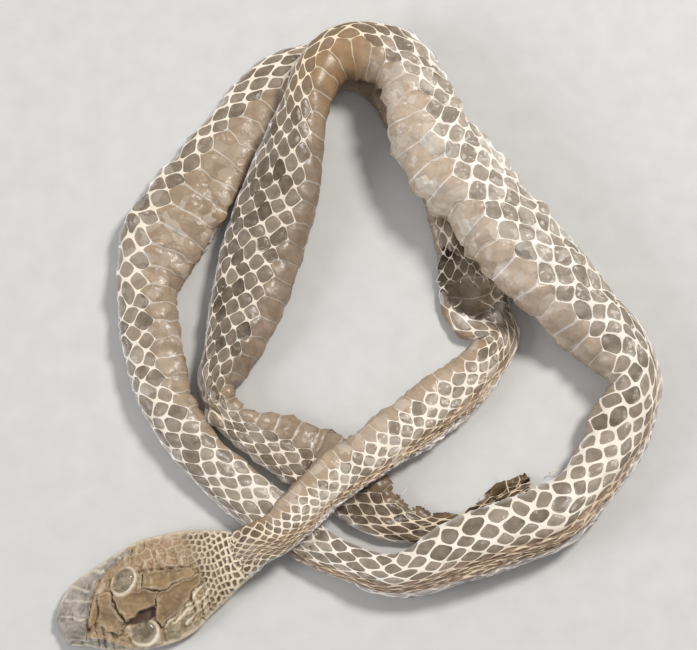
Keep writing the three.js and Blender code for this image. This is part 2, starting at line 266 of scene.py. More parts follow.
def girth_table():
    a, b = along(fine, HALF_WIDTH), along(fine, HEIGHT) / (1 + GROUND_CUT)
    roll = np.radians(along(fine, ROLL))
    middles = (np.arange(ANGLE_STEPS) + 0.5) * 2 * math.pi / ANGLE_STEPS
    angle = roll[:, None] + middles
    speed = np.hypot(a[:, None] * np.cos(angle), b[:, None] * np.sin(angle))
    length = np.concatenate([np.zeros((len(fine), 1)), np.cumsum(speed, 1)], 1)
    girth = length[:, -1] * 2 * math.pi / ANGLE_STEPS
    edges = np.arange(ANGLE_STEPS + 1) * 2 * math.pi / ANGLE_STEPS
    table = np.stack([np.interp(SHARES, row / row[-1], edges) for row in length])
    return table + roll[:, None], girth


angle_table, girths = girth_table()


def angle_at(station, share):
    whole = np.floor(share)
    row = np.clip(station * FINE, 0, len(fine) - 1.001)
    col = (share - whole) * (len(SHARES) - 1)
    i, j = row.astype(int), np.minimum(col.astype(int), len(SHARES) - 2)
    f, g = row - i, col - j
    low = angle_table[i, j] * (1 - g) + angle_table[i, j + 1] * g
    high = angle_table[i + 1, j] * (1 - g) + angle_table[i + 1, j + 1] * g
    return low * (1 - f) + high * f + 2 * math.pi * whole


LOOK_AHEAD = 0.02  # stations, for the direction of the path
ABOVE_GROUND = 0.02  # mm


def skin_point(station, angle, out):
    """Places in metres of points at an angle round the tube, standing out by some millimetres."""
    ahead, behind = np.minimum(station + LOOK_AHEAD, LAST), np.maximum(station - LOOK_AHEAD, 0)
    tangent = np.stack([along(ahead, c) - along(behind, c) for c in (X, Y, LIFT)], -1)
    tangent /= np.linalg.norm(tangent, axis=-1, keepdims=True)
    right = np.cross(tangent, (0, 0, 1))
    right /= np.linalg.norm(right, axis=-1, keepdims=True)
    up = np.cross(right, tangent)
    a, b = along(station, HALF_WIDTH), along(station, HEIGHT) / (1 + GROUND_CUT)
    lift = along(station, LIFT)
    across, rise = a * np.sin(angle), b * np.cos(angle)
    normal = np.stack([across / a**2, rise / b**2], -1)
    normal /= np.linalg.norm(normal, axis=-1, keepdims=True)
    x, y = along(station, X) - COIL_MIDDLE[0], along(station, Y) - COIL_MIDDLE[1]
    middle = np.stack([x, y, lift + GROUND_CUT * b], -1)
    place = middle + right * (across + out * normal[..., 0])[..., None]
    place += up * (rise + out * normal[..., 1])[..., None]
    place[..., 2] = np.maximum(place[..., 2], np.maximum(lift, 0) + ABOVE_GROUND)
    return place * MM


print("girth at mid body:", round(girths.max(), 1), "mm")

# %% [markdown]
# ## The flat pattern of scales
# Slit along one side and laid flat, the skin is a regular pattern: thirteen rows of six-sided
# scales, each row half a scale on from the last, and one broad belly scute to every scale of
# the row beside it. In this pattern one unit along is one scute and one unit across is one row,
# so a single scale and a single scute are enough as templates. Each scale has a clear domed
# window in a raised rim of net, in forty-two faces. Geometry Nodes then lay them out.

# %% One scale: net round the outside, a domed window inside
ROWS = 13
ROUND_ROWS = 20  # rows right round, with the belly's width counted as seven
FLAT = 0.16  # half the short side that a scale shares with the next one in its row
NET, WINDOW, BELLY, HINGE = range(4)
NET_CREST = 0.2
GROOVE = 0.0
DOME_EDGE = 0.16
DOME = 0.22
WINDOW_SPAN = (0.41, 0.66)
WINDOW_ROUNDNESS = 1.35
DOME_SHARE = 0.72  # how far out the ring of points inside a window lies


def scale_border():
    corners = [(0.5, -FLAT), (0.5, FLAT), (0, 1 - FLAT), (-0.5, FLAT), (-0.5, -FLAT), (0, FLAT - 1)]
    points = []
    for start, end in zip(corners, corners[1:] + corners[:1]):
        pieces = 1 if start[0] == end[0] else 3
        for k in range(pieces):
            points.append([s + (e - s) * k / pieces for s, e in zip(start, end)])
    return np.array(points)


def template(name, points, faces, kinds, spread):
    """kinds are the faces' materials, and spread is a window point's place in its scale, or else 0."""
    mesh = bpy.data.meshes.new(name)
    mesh.from_pydata([tuple(p) for p in points], [], faces)
    mesh.attributes.new("kind", "INT", "FACE").data.foreach_set("value", kinds)
    for key, values in (("spread_x", spread[:, 0]), ("spread_y", spread[:, 1])):
        mesh.attributes.new(key, "FLOAT", "POINT").data.foreach_set("value", values)
    return put(name, mesh)


def make_scale():
    border = scale_border()
    count = len(border)
    reach = np.abs(border / WINDOW_SPAN) ** WINDOW_ROUNDNESS
    rim = border / (reach.sum(1) ** (1 / WINDOW_ROUNDNESS))[:, None]
    inner = rim * DOME_SHARE
    rings = [(border, NET_CREST), (rim, GROOVE), (inner, DOME_EDGE), (np.zeros((1, 2)), DOME)]
    points = np.concatenate([np.column_stack([ring, np.full(len(ring), z)]) for ring, z in rings])
    spread = points[:, :2] * (np.arange(len(points)) >= count)[:, None]
    faces, kinds = [], []
    for ring, kind in ((0, NET), (1, WINDOW)):
        for k in range(count):
            a, b = ring * count + k, ring * count + (k + 1) % count
            faces.append((a, b, b + count, a + count))
            kinds.append(kind)
    for k in range(count):
        faces.append((2 * count + k, 2 * count + (k + 1) % count, 3 * count))
        kinds.append(WINDOW)
    return template("scale template", points, faces, kinds, spread)


scale_template = make_scale()
print("scale template:", len(scale_template.data.polygons), "faces")

# %% One belly scute: a broad soft plate whose hinge is a thin ridge
SCUTE_COLUMNS = np.array([-0.5, -0.44, -0.26, 0.0, 0.25, 0.44, 0.5])
SCUTE_RIDGE = (0.3, 0.0, 0.08, 0.2, 0.28, 0.3, 0.3)  # each plate rises to its hind edge
SCUTE_LINES = (13.1, 13.9, 14.9, 16.0, 17.1, 18.1, 18.9)
BELLY_MIDDLE = 16.0


def make_scute():
    columns = len(SCUTE_COLUMNS)
    border_x = np.linspace(-0.5, 0.5, columns)
    zigzag = FLAT + (1 - 2 * FLAT) * np.abs(border_x) / 0.5
    crest = np.full(columns, NET_CREST)
    lines = [(border_x, ROWS - 1 + zigzag, crest)]
    lines += [(SCUTE_COLUMNS, np.full(columns, y), SCUTE_RIDGE) for y in SCUTE_LINES]
    lines += [(border_x, ROUND_ROWS - zigzag, crest)]
    points = np.concatenate([np.column_stack(line) for line in lines]) - (0, BELLY_MIDDLE, 0)
    faces, kinds = [], []
    for k in range(len(lines) - 1):
        for j in range(columns - 1):
            a = k * columns + j
            faces.append((a, a + 1, a + columns + 1, a + columns))
            kinds.append(HINGE if j == 0 else BELLY)
    return template("scute template", points, faces, kinds, np.zeros((len(points), 2)))


scute_template = make_scute()
print("scute template:", len(scute_template.data.polygons), "faces")

# %% [markdown]
# ## Laying the scales with Geometry Nodes
# A node tree lays the pattern. A grid gives one point for every scale, every other row is moved
# on by half a scale, and a line of points gives the belly scutes. The templates are instanced
# on the points, each instance gets its own random tone, and the instances are realized and
# merged into one sheet, because neighbours share their borders.

# %% A helper that adds nodes to any tree
class Nodes:
    def __init__(self, tree):
        self.tree = tree

    def add(self, kind, inputs=(), **settings):
        """A new node. Each input is linked if it comes from another node, or else set."""
        node = self.tree.nodes.new(kind)
        for key, value in settings.items():
            setattr(node, key, value)
        for key, value in dict(inputs).items():
            self.give(node.inputs[key], value)
        return node

    def give(self, socket, value):
        if isinstance(value, bpy.types.NodeSocket):
            self.tree.links.new(value, socket)
        else:
            socket.default_value = value

    def math(self, operation, first, second=0.0, clamp=False):
        node = self.add("ShaderNodeMath", {0: first, 1: second}, operation=operation)
        node.use_clamp = clamp
        return node.outputs[0]


print("Nodes can", [name for name in vars(Nodes) if name[0] != "_"])

# %% The node tree
SHEET_SEED = 5
MERGE_REACH = 0.0005
TREE_INPUTS = {
    "Scutes": "Int", "Rows": "Int", "Belly middle": "Float", "Seed": "Int", "Scale": "Object",
    "Scute": "Object", "Net": "Material", "Window": "Material", "Belly": "Material", "Hinge": "Material",
}


def lay_scales_tree():
    tree = bpy.data.node_groups.new("lay scales", "GeometryNodeTree")
    tree.interface.new_socket("Geometry", in_out="OUTPUT", socket_type="NodeSocketGeometry")
    for name, kind in TREE_INPUTS.items():
        tree.interface.new_socket(name, in_out="INPUT", socket_type="NodeSocket" + kind)
    n = Nodes(tree)
    given = n.add("NodeGroupInput").outputs

    def laid(points, name, seed_step):
        """Instances of one template on points, each with a random tone."""
        thing = n.add("GeometryNodeObjectInfo", {"Object": given[name]}).outputs["Geometry"]
        lay = n.add("GeometryNodeInstanceOnPoints", {"Points": points, "Instance": thing})
        seed = n.math("ADD", given["Seed"], seed_step)
        tone = n.add("FunctionNodeRandomValue", {"Seed": seed}, data_type="FLOAT").outputs[1]
        inputs = {"Geometry": lay.outputs["Instances"], "Name": "tone", "Value": tone}
        settings = {"data_type": "FLOAT", "domain": "INSTANCE"}
        return n.add("GeometryNodeStoreNamedAttribute", inputs, **settings).outputs["Geometry"]

    long, wide = (n.math("SUBTRACT", given[name], 1) for name in ("Scutes", "Rows"))
    counts = {"Vertices X": given["Scutes"], "Vertices Y": given["Rows"], "Size X": long, "Size Y": wide}
    grid = n.add("GeometryNodeMeshGrid", counts).outputs["Mesh"]
    apart = n.add("ShaderNodeSeparateXYZ", {0: n.add("GeometryNodeInputPosition").outputs[0]})
    half_long, half_wide = n.math("MULTIPLY", long, 0.5), n.math("MULTIPLY", wide, 0.5)
    row = n.math("ROUND", n.math("ADD", apart.outputs["Y"], half_wide))
    stagger = n.math("MULTIPLY", n.math("MODULO", row, 2), 0.5)
    shift = n.add("ShaderNodeCombineXYZ", {"X": n.math("ADD", half_long, stagger), "Y": half_wide})
    scales = n.add("GeometryNodeSetPosition", {"Geometry": grid, "Offset": shift.outputs[0]}).outputs[0]

    start = n.add("ShaderNodeCombineXYZ", {"X": 0.5, "Y": given["Belly middle"]}).outputs[0]
    inputs = {"Offset": (1, 0, 0), "Start Location": start, "Count": given["Scutes"]}
    scutes = n.add("GeometryNodeMeshLine", inputs).outputs["Mesh"]

    join = n.add("GeometryNodeJoinGeometry", {0: laid(scales, "Scale", 0)})
    n.give(join.inputs[0], laid(scutes, "Scute", 1))
    realize = n.add("GeometryNodeRealizeInstances", {0: join.outputs[0]})
    merge = {"Geometry": realize.outputs[0], "Distance": MERGE_REACH}
    last = n.add("GeometryNodeMergeByDistance", merge).outputs[0]
    kind = n.add("GeometryNodeInputNamedAttribute", {"Name": "kind"}, data_type="INT").outputs["Attribute"]
    for number, name in enumerate(("Net", "Window", "Belly", "Hinge")):
        same = n.add("FunctionNodeCompare", {2: kind, 3: number}, data_type="INT", operation="EQUAL")
        paint = {"Geometry": last, "Selection": same.outputs[0], "Material": given[name]}
        last = n.add("GeometryNodeSetMaterial", paint).outputs[0]
    n.add("NodeGroupOutput", {0: last})
    return tree


scales_tree = lay_scales_tree()
print("lay scales:", len(scales_tree.nodes), "nodes")

# %% [markdown]
# ## Finishes
# All of the skin is the same dry keratin, but it looks different from place to place. The hinge
# skin of the net is thin, crinkled and pale. The windows are clear horn that lets a little of
# what lies behind through, so they look tan to grey-brown and shine. The belly scutes are
# softer, pinker and satin. Each finish mixes a few named colours by values kept on the mesh:
# tone is random for each scale; warm and light change slowly along the body, and light is partly
# the skin's own paleness and partly painted light and shade; drawn is where rows are pulled
# together, whose colour is warmer there and darkened with painted shade; crumpled is where the
# film is creased into flat facets, some of which get painted highlights; and one more value
# paints light along the sides of the tube, where it turns away from the top.

# %% A helper that builds shader nodes
HALF = (0.5, 0.5, 0.5)
FACET_SIZE = 3.6  # mm, the size of one flat facet of crumpled film
FACET_STRENGTH = 36.0  # how much stronger the facets stand out than the fine grain
DRAWN_WARMTH = 0.6


class Finish(Nodes):
    def __init__(self, name, **sockets):
        self.material = bpy.data.materials.new(name)
        self.material.use_nodes = True
        super().__init__(self.material.node_tree)
        self.shader = self.tree.nodes["Principled BSDF"]
        for socket, value in sockets.items():
            self.shader.inputs[socket].default_value = value

    def value(self, name):
        return self.add("ShaderNodeAttribute", attribute_name=name).outputs["Fac"]

    def spread(self, value, low, high, out_low=0.0, out_high=1.0):
        inputs = {"Value": value, "From Min": low, "From Max": high, "To Min": out_low, "To Max": out_high}
        return self.add("ShaderNodeMapRange", inputs).outputs[0]

    def mix(self, share, first, second):
        return self.add("ShaderNodeMix", {0: share, 6: first, 7: second}, data_type="RGBA").outputs[2]

    def part(self, name, share):
        """Some share of a value that is kept on the mesh."""
        return self.math("MULTIPLY", self.value(name), share)

    def total(self, first, *others):
        """The sum of several shares, held between 0 and 1."""
        for number, other in enumerate(others, 1):
            first = self.math("ADD", first, other, clamp=number == len(others))
        return first

    def coats(self, colour, *coats):
        """Colours laid one over another, each by a share of a value that is kept on the mesh."""
        for over, name, share in coats:
            colour = self.mix(self.part(name, share), colour, over)
        return colour

    def warmth(self):
        """How warm the skin's colour is: more so where the rows are drawn together."""
        return self.total(self.value("warm"), self.part("drawn", DRAWN_WARMTH))

    def noise(self, size, detail=2.0, stretch=None, roughness=0.5):
        """Noise whose grains are about size millimetres across."""
        place = self.add("ShaderNodeTexCoord").outputs["Object"]
        if stretch is not None:
            place = self.add("ShaderNodeMapping", {"Vector": place, "Scale": stretch}).outputs[0]
        inputs = {"Vector": place, "Scale": 1 / (size * MM), "Detail": detail, "Roughness": roughness}
        return self.add("ShaderNodeTexNoise", inputs).outputs["Fac"]

    def vectors(self, operation, first, second, output="Vector"):
        return self.add("ShaderNodeVectorMath", {0: first, 1: second}, operation=operation).outputs[output]

    def facets(self, size):
        """Flat facets that tilt at random, as in crumpled film: height, and a random pick for painted
        highlights.
        """
        place = self.add("ShaderNodeTexCoord").outputs["Object"]
        place = self.vectors("MULTIPLY", place, (1 / (size * MM),) * 3)
        noise = self.add("ShaderNodeTexNoise", {"Vector": place, "Scale": 1.6, "Detail": 1.0})
        bent = self.vectors("ADD", place, self.vectors("MULTIPLY", noise.outputs["Color"], HALF))
        cells = self.add("ShaderNodeTexVoronoi", {"Vector": bent, "Scale": 1.0})
        from_middle = self.vectors("SUBTRACT", bent, cells.outputs["Position"])
        tilt = self.vectors("SUBTRACT", cells.outputs["Color"], HALF)
        height = self.vectors("DOT_PRODUCT", from_middle, tilt, "Value")
        return height, self.vectors("DOT_PRODUCT", cells.outputs["Color"], (1, 0, 0), "Value")

    def crumpled(self, colour, grain, millimetres):
        """A bump of fine grain, and folds where the film is crumpled, with painted highlights on some
        facets.
        """
        height, shade = self.facets(FACET_SIZE)
        strength = self.value("crumpled")
        folds = self.math("MULTIPLY", height, self.math("MULTIPLY", strength, FACET_STRENGTH))
        self.bump(self.math("ADD", grain, folds), millimetres)
        # painted highlights: facets with a high random value are painted whiter, more so where the
        # stretch's light value is high
        glint = self.math("MULTIPLY", self.spread(shade, 0.5, 1.0, 0.0, 0.8), strength)
        glint = self.math("MULTIPLY", glint, self.value("light"), clamp=True)
        self.colour(self.mix(glint, colour, GLINT_WHITE))

    def bump(self, height, millimetres):
        inputs = {"Height": height, "Distance": millimetres * MM, "Strength": 1.0}
        self.give(self.shader.inputs["Normal"], self.add("ShaderNodeBump", inputs).outputs[0])

    def colour(self, value):
        self.give(self.shader.inputs["Base Color"], value)

    def roughness(self, value):
        self.give(self.shader.inputs["Roughness"], value)


def tint(red, green, blue):
    """A screen colour, 0 to 255, as the linear colour that Blender mixes."""
    shares = [c / 255 for c in (red, green, blue)]
    return tuple(c / 12.92 if c <= 0.04045 else ((c + 0.055) / 1.055) ** 2.4 for c in shares) + (1.0,)


print("Finish can also", [name for name in vars(Finish) if name[0] != "_"])

# %% The four finishes of the body
NET_PALE, NET_WARM, NET_SHADE = tint(248, 242, 236), tint(238, 220, 190), tint(158, 132, 104)
WINDOW_GREY, WINDOW_TAN, WINDOW_DEEP = tint(224, 212, 196), tint(188, 157, 120), tint(74, 60, 42)
# the last colour on the line below is the white of painted highlights on crumpled film
BELLY_PINK, BELLY_TAN, GLINT_WHITE = tint(228, 209, 187), tint(190, 152, 110), tint(246, 236, 220)
PLEAT_PINK = tint(206, 172, 148)
FINE_GRAIN, FILM_CRINKLE = 0.05, 0.06  # how far the bumps stand out, mm


def net_finish():
    f = Finish("hinge skin", Roughness=0.55)
    grain = f.noise(0.5, 3)
    colour = f.mix(f.warmth(), NET_PALE, NET_WARM)
    blotch = f.noise(4.0, 3)
    # painted shade: the net is darkened where the stretch's light value is low and where rows are drawn
    # into pleats; the blotches are its own uneven colour
    unlit = f.spread(f.value("light"), 0.0, 0.7, 0.4, 0.0)
    shade_and_blotch = f.total(unlit, f.part("drawn", 0.35), f.spread(blotch, 0.35, 0.7, -0.08, 0.16))
    colour = f.mix(shade_and_blotch, colour, NET_SHADE)
    colour = f.mix(f.spread(grain, 0.4, 0.7, 0.0, 0.3), colour, NET_WARM)
    # painted light: the net is paler along the sides of the tube
    f.colour(f.coats(colour, (NET_PALE, "side_light", 0.8)))
    f.roughness(f.spread(grain, 0.3, 0.7, 0.45, 0.7))
    f.bump(grain, FINE_GRAIN)
    return f.material


def window_finish():
    f = Finish("scale window", Alpha=0.72)
    smear = f.noise(2.2, 3)
    crinkle = f.noise(0.45, 4, roughness=0.6)
    colour = f.mix(f.warmth(), WINDOW_GREY, WINDOW_TAN)
    # painted shade where the stretch's light value is low and a little in the pleats, mixed with each
    # scale's own tone and smears of colour
    unlit = f.spread(f.value("light"), 0.0, 1.0, 0.88, 0.24)
    own = f.spread(f.value("tone"), 0, 1, -0.16, 0.2)
    shade_and_tone = f.total(unlit, own, f.part("drawn", 0.15), f.spread(smear, 0.3, 0.7, -0.12, 0.12))
    colour = f.mix(shade_and_tone, colour, WINDOW_DEEP)
    # the pink of the pleats is their own colour; the pale coat is painted light along the tube's sides
    colour = f.coats(colour, (PLEAT_PINK, "drawn", 0.45), (NET_PALE, "side_light", 0.55))
    f.roughness(f.spread(crinkle, 0.3, 0.7, 0.18, 0.4))
    f.crumpled(colour, crinkle, FILM_CRINKLE)
    return f.material


def belly_finish(name, pink, tan, alpha):
    f = Finish(name, Alpha=alpha)
    smear = f.noise(3.0, 3)
    crinkle = f.noise(0.6, 4, roughness=0.6)
    colour = f.mix(f.value("warm"), pink, tan)
    # painted shade where the stretch's light value is low, mixed with smears of its own colour
    unlit = f.spread(f.value("light"), 0.0, 1.0, 0.78, 0.07)
    shade_and_tone = f.total(unlit, f.spread(smear, 0.3, 0.7, -0.1, 0.15))
    colour = f.mix(shade_and_tone, colour, WINDOW_DEEP)
    f.roughness(f.spread(crinkle, 0.3, 0.7, 0.2, 0.4))
    f.crumpled(colour, crinkle, FILM_CRINKLE)
    return f.material


hinge_skin = net_finish()
scale_window = window_finish()
belly_skin = belly_finish("belly scute", BELLY_PINK, BELLY_TAN, 0.8)
belly_hinge = belly_finish("belly hinge", NET_PALE, NET_WARM, 0.9)
body_finishes = (hinge_skin, scale_window, belly_skin, belly_hinge)
print("finishes:", [m.name for m in body_finishes])

# %% [markdown]
# ## The sheet
# The rows start at the nape, and a scute's length changes along the body, so counting scutes
# along the path gives how long the pattern is. The modifier's result becomes a plain mesh, which
# is read back as arrays, because whole arrays of points are bent faster than single ones.

# %% Lay the whole pattern
NAPE = 7.1  # the station where the rows of scales start
scute_lengths = along(fine, SCUTE)
SCUTE_TABLE = np.concatenate([[0], np.cumsum(2 * steps / (scute_lengths[1:] + scute_lengths[:-1]))])
SCUTE_TABLE -= np.interp(NAPE, fine, SCUTE_TABLE)
SCUTES = int(SCUTE_TABLE[-1])


def lay_pattern():
    sheet = put("pattern", bpy.data.meshes.new("pattern"))
    modifier = sheet.modifiers.new("lay scales", "NODES")
    modifier.node_group = scales_tree
    values = {
        "Scutes": SCUTES, "Rows": ROWS, "Belly middle": BELLY_MIDDLE, "Seed": SHEET_SEED,
        "Scale": scale_template, "Scute": scute_template,
        "Net": hinge_skin, "Window": scale_window, "Belly": belly_skin, "Hinge": belly_hinge,
    }
    for item in scales_tree.interface.items_tree:
        if item.name in values:
            modifier[item.identifier] = values[item.name]
    depsgraph = bpy.context.evaluated_depsgraph_get()
    laid = bpy.data.meshes.new_from_object(sheet.evaluated_get(depsgraph))
    sheet.modifiers.remove(modifier)
    for thing in (sheet, scale_template, scute_template):
        bpy.data.objects.remove(thing)
    return laid


pattern = lay_pattern()
print("pattern:", SCUTES, "scutes long,", len(pattern.polygons), "faces")

# %% Read the sheet, and close it round the body
CLOSE_GRID = 2000  # points this many to one row are taken as one


def read_pattern(mesh):
    """Places, faces of four corners (the last one is -1 in a triangle) and the stored values."""
    places = np.empty(len(mesh.vertices) * 3)
    mesh.vertices.foreach_get("co", places)
    places = places.reshape(-1, 3)
    sizes = np.empty(len(mesh.polygons), int)
    finish = np.empty(len(mesh.polygons), int)
    corners = np.empty(len(mesh.loops), int)
    mesh.polygons.foreach_get("loop_total", sizes)
    mesh.polygons.foreach_get("material_index", finish)
    mesh.loops.foreach_get("vertex_index", corners)
    starts = np.concatenate([[0], np.cumsum(sizes)[:-1]])
    faces = np.full((len(sizes), 4), -1)
    for k in range(4):
        there = sizes > k
        faces[there, k] = corners[starts[there] + k]
    values = {}
    for name in ("tone", "spread_x", "spread_y"):
        values[name] = np.empty(len(places))
        mesh.attributes[name].data.foreach_get("value", values[name])
    number = {m: k for k, m in enumerate(body_finishes)}
    finish = np.array([number.get(m, 0) for m in mesh.materials])[finish]
    return places, faces, finish, values


def close_round(places, faces, values):
    """The pattern's first and last rows are the same line on the body, so their points are joined."""
    places[:, 1] %= ROUND_ROWS
    key = np.round(places * CLOSE_GRID).astype(int)
    key[:, 1] %= ROUND_ROWS * CLOSE_GRID
    _, first, whose = np.unique(key, axis=0, return_index=True, return_inverse=True)
    whose = whose.ravel()
    faces = np.where(faces >= 0, whose[faces], -1)
    return places[first], faces, {name: value[first] for name, value in values.items()}


flat, faces, finishes, values = read_pattern(pattern)
flat, faces, values = close_round(flat, faces, values)
print("closed round:", len(flat), "points,", len(faces), "faces")

# %% [markdown]
# ## Folds, dents and creases
# A dry shed is never a smooth tube. Rows are stretched wide on one side and drawn together on
# the other, where they fold into fine pleats that run along the body. Smooth waves with random
# phases give the slow dents, all of them fitting a whole number of times round the body so
# that the skin still closes. Every wave comes from a fixed seed.

# %% Waves over the skin
def ripple(along_body, turns, seed, lengths, rounds, waves=24):
    """Smooth noise of about unit strength: lengths in scutes, rounds in waves per turn."""
    rng = np.random.default_rng(seed)
    total = np.zeros_like(along_body)
    for _ in range(waves):
        pace = 1 / rng.uniform(*lengths)
        whole = rng.integers(-rounds, rounds + 1)
        phase = rng.uniform(0, 2 * math.pi)
        total += np.sin(2 * math.pi * (pace * along_body + whole * turns) + phase)
    return total / math.sqrt(waves / 2)


def ease(value, low, high):
    share = np.clip((value - low) / (high - low), 0, 1)
    return share * share * (3 - 2 * share)


print("strength of a wave:", ripple(np.arange(500.0), 0.3, 1, (3, 9), 6).std().round(2))

# %% How the skin changes from stretch to stretch
# station, light (how pale the stretch is painted: partly its own colour, partly painted light and
# shade), warm, size of the windows, squeeze of the rows, its side (degrees from the middle of the
# back), pleats on that side (mm), dents (mm), swelling of the scutes (mm), how far the skin has
# slipped round the tube (degrees), and how crumpled the film is (which also sets its painted
# highlights)
STRETCHES = np.array([
    (7.0, 0.25, 1.00, 0.90, 0.30, -20, 0.15, 0.10, 0.0, 0, 0.1),
    (8.2, 0.45, 0.90, 0.96, 0.50, 0, 0.40, 0.12, 0.1, -14, 0.2),
    (9.5, 0.72, 0.62, 0.98, 0.74, 4, 0.60, 0.14, 0.1, -20, 0.5),
    (12.0, 0.80, 0.50, 1.00, 0.84, 12, 0.80, 0.20, 0.2, -24, 0.6),
    (16.0, 0.75, 0.50, 1.02, 0.80, 12, 0.75, 0.22, 0.3, -24, 0.6),
    (18.0, 0.55, 0.65, 1.08, 0.20, 0, 0.20, 0.25, 0.2, 0, 0.6),
    (21.0, 0.38, 0.60, 1.12, 0.00, 0, 0.00, 0.20, 0.0, 0, 0.3),
    (28.0, 0.55, 0.55, 1.00, 0.00, 60, 0.00, 0.15, 0.0, 0, 0.2),
    (31.0, 0.60, 0.58, 1.08, 0.30, 110, 0.00, 0.42, 0.4, 10, 0.7),
    (33.0, 0.60, 0.55, 1.08, 0.50, 110, 0.00, 0.32, 0.2, 20, 0.5),
    (35.5, 0.60, 0.50, 1.08, 0.50, 110, 0.00, 0.26, 0.2, 20, 0.3),
    (37.5, 0.62, 0.35, 1.08, 0.50, 70, 0.30, 0.20, 0.1, 0, 0.2),
    (41.0, 0.62, 0.25, 1.04, 0.70, 50, 0.50, 0.16, 0.1, -15, 0.1),
    (44.0, 0.55, 0.35, 1.00, 0.78, 42, 0.75, 0.18, 0.1, -22, 0.1),
    (48.0, 0.55, 0.40, 1.00, 0.80, 42, 0.80, 0.22, 0.1, -22, 0.1),
    (51.0, 0.55, 0.40, 1.00, 0.72, 40, 0.65, 0.22, 0.2, -20, 0.2),
    (54.0, 0.66, 0.30, 1.08, 0.15, 20, 0.10, 0.35, 0.5, 0, 0.4),
    (57.0, 0.82, 0.24, 1.08, 0.10, 0, 0.05, 0.50, 0.6, 0, 0.9),
    (59.4, 0.88, 0.28, 1.06, 0.10, -20, 0.05, 0.75, 0.6, 0, 1.0),
    (60.9, 0.70, 0.40, 1.06, 0.05, -20, 0.00, 0.35, 0.3, -16, 0.4),
    (61.9, 0.74, 1.00, 1.06, 0.00, -20, 0.00, 0.18, 0.2, 22, 0.1),
    (63.2, 0.68, 1.00, 1.06, 0.00, -20, 0.00, 0.16, 0.3, 34, 0.1),
    (65.0, 0.32, 0.48, 1.12, 0.00, 0, 0.05, 0.18, 0.2, 12, 0.2),
    (69.5, 0.34, 0.48, 1.12, 0.00, 0, 0.05, 0.20, 0.2, 15, 0.2),
    (70.7, 0.50, 0.75, 1.10, 0.00, 0, 0.05, 0.60, 0.3, 10, 1.0),
    (72.5, 0.58, 0.48, 1.10, 0.00, 0, 0.10, 0.28, 0.5, 0, 0.4),
    (78.0, 0.06, 0.95, 1.06, 0.00, 0, 0.10, 0.25, 0.2, 0, 0.4),
    (79.5, 0.00, 1.00, 1.00, 0.00, 0, 0.10, 0.40, 0.0, 0, 0.8),
    (82.0, 0.00, 1.00, 1.00, 0.00, 0, 0.10, 0.60, 0.0, 0, 1.0),
])
LIGHT, WARM, WINDOWS, SQUEEZE, SIDE, PLEATS, DENTS, SWELL, SLIP, CRUMPLED = range(1, 11)

# Where the middles of the rows lie round the full girth, in mm from the middle of the back
ROW_MIDDLES = [2.5, 5.05, 7.7, 10.55, 13.65, 16.95]
BELLY_EDGE = 20.35
ROW_PLACES = [-m for m in reversed(ROW_MIDDLES)] + [0] + ROW_MIDDLES
ROW_PLACES += [BELLY_EDGE, FULL_GIRTH - BELLY_EDGE, FULL_GIRTH - ROW_MIDDLES[-1]]
ROW_STEP = 2.7  # mm from row to row, on the whole
ROW_NUMBERS = [*range(ROWS), ROWS, ROUND_ROWS - 1, ROUND_ROWS]


def stretch_value(station, column):
    return np.interp(station, STRETCHES[:, 0], STRETCHES[:, column])


print(len(STRETCHES), "stretches")

# %% What makes the skin uneven
PALE_SCUFFS = [(29.2, 0.9, 3.6), (36.6, 1.6, 2.6)]  # x, y and radius of white crumples by the torn fold
SCUFF_STATION, SCUFF_REACH = 19, 3
SIZE_SPREAD = 0.16  # how much the windows differ in size
STRAY_ALONG, STRAY_ROUND = 0.05, 0.004  # how far the net's lines stray, in scutes and in turns
DRAWN_FROM, DRAWN_TO = 0.15, 0.5  # how much squeeze counts as rows drawn together
SIDE_LIGHT_FROM, SIDE_LIGHT_TO = 0.86, 0.99  # how far out from the middle the painted light along the tube's sides starts and is full
SWELL_EDGE, SWELL_FULL = 4.0, 2.6  # rows from the belly's middle
DENT_FOLDS = ((16, (3, 8)), (17, (1.5, 4)))  # seed and lengths of the sunk folds
DENT_CREASES = ((18, (1.2, 4), 9, 0.9), (19, (0.6, 1.6), 16, 0.4))  # seed, lengths, rounds, share


def in_plan(places):
    """Places in metres as x and y among the stations, in mm."""
    return (places[:, :2] / MM + COIL_MIDDLE).T


def dents_of(number, turn):
    """The skin's unevenness, of about unit strength: waves, sunk folds and sharp creases."""
    dents = ripple(number, turn, 14, (3.5, 12), 3) + 0.5 * ripple(number, turn, 15, (1.5, 4), 6)
    for seed, lengths in DENT_FOLDS:
        dents -= 1.2 * np.exp(-((ripple(number, turn, seed, lengths, 4) / 0.18) ** 2))
    for seed, lengths, rounds, share in DENT_CREASES:
        dents += share * (np.abs(ripple(number, turn, seed, lengths, rounds, waves=7)) - 0.8)
    return dents - 0.8


print("dents along the back:", dents_of(np.arange(8.0), np.zeros(8)).round(1))

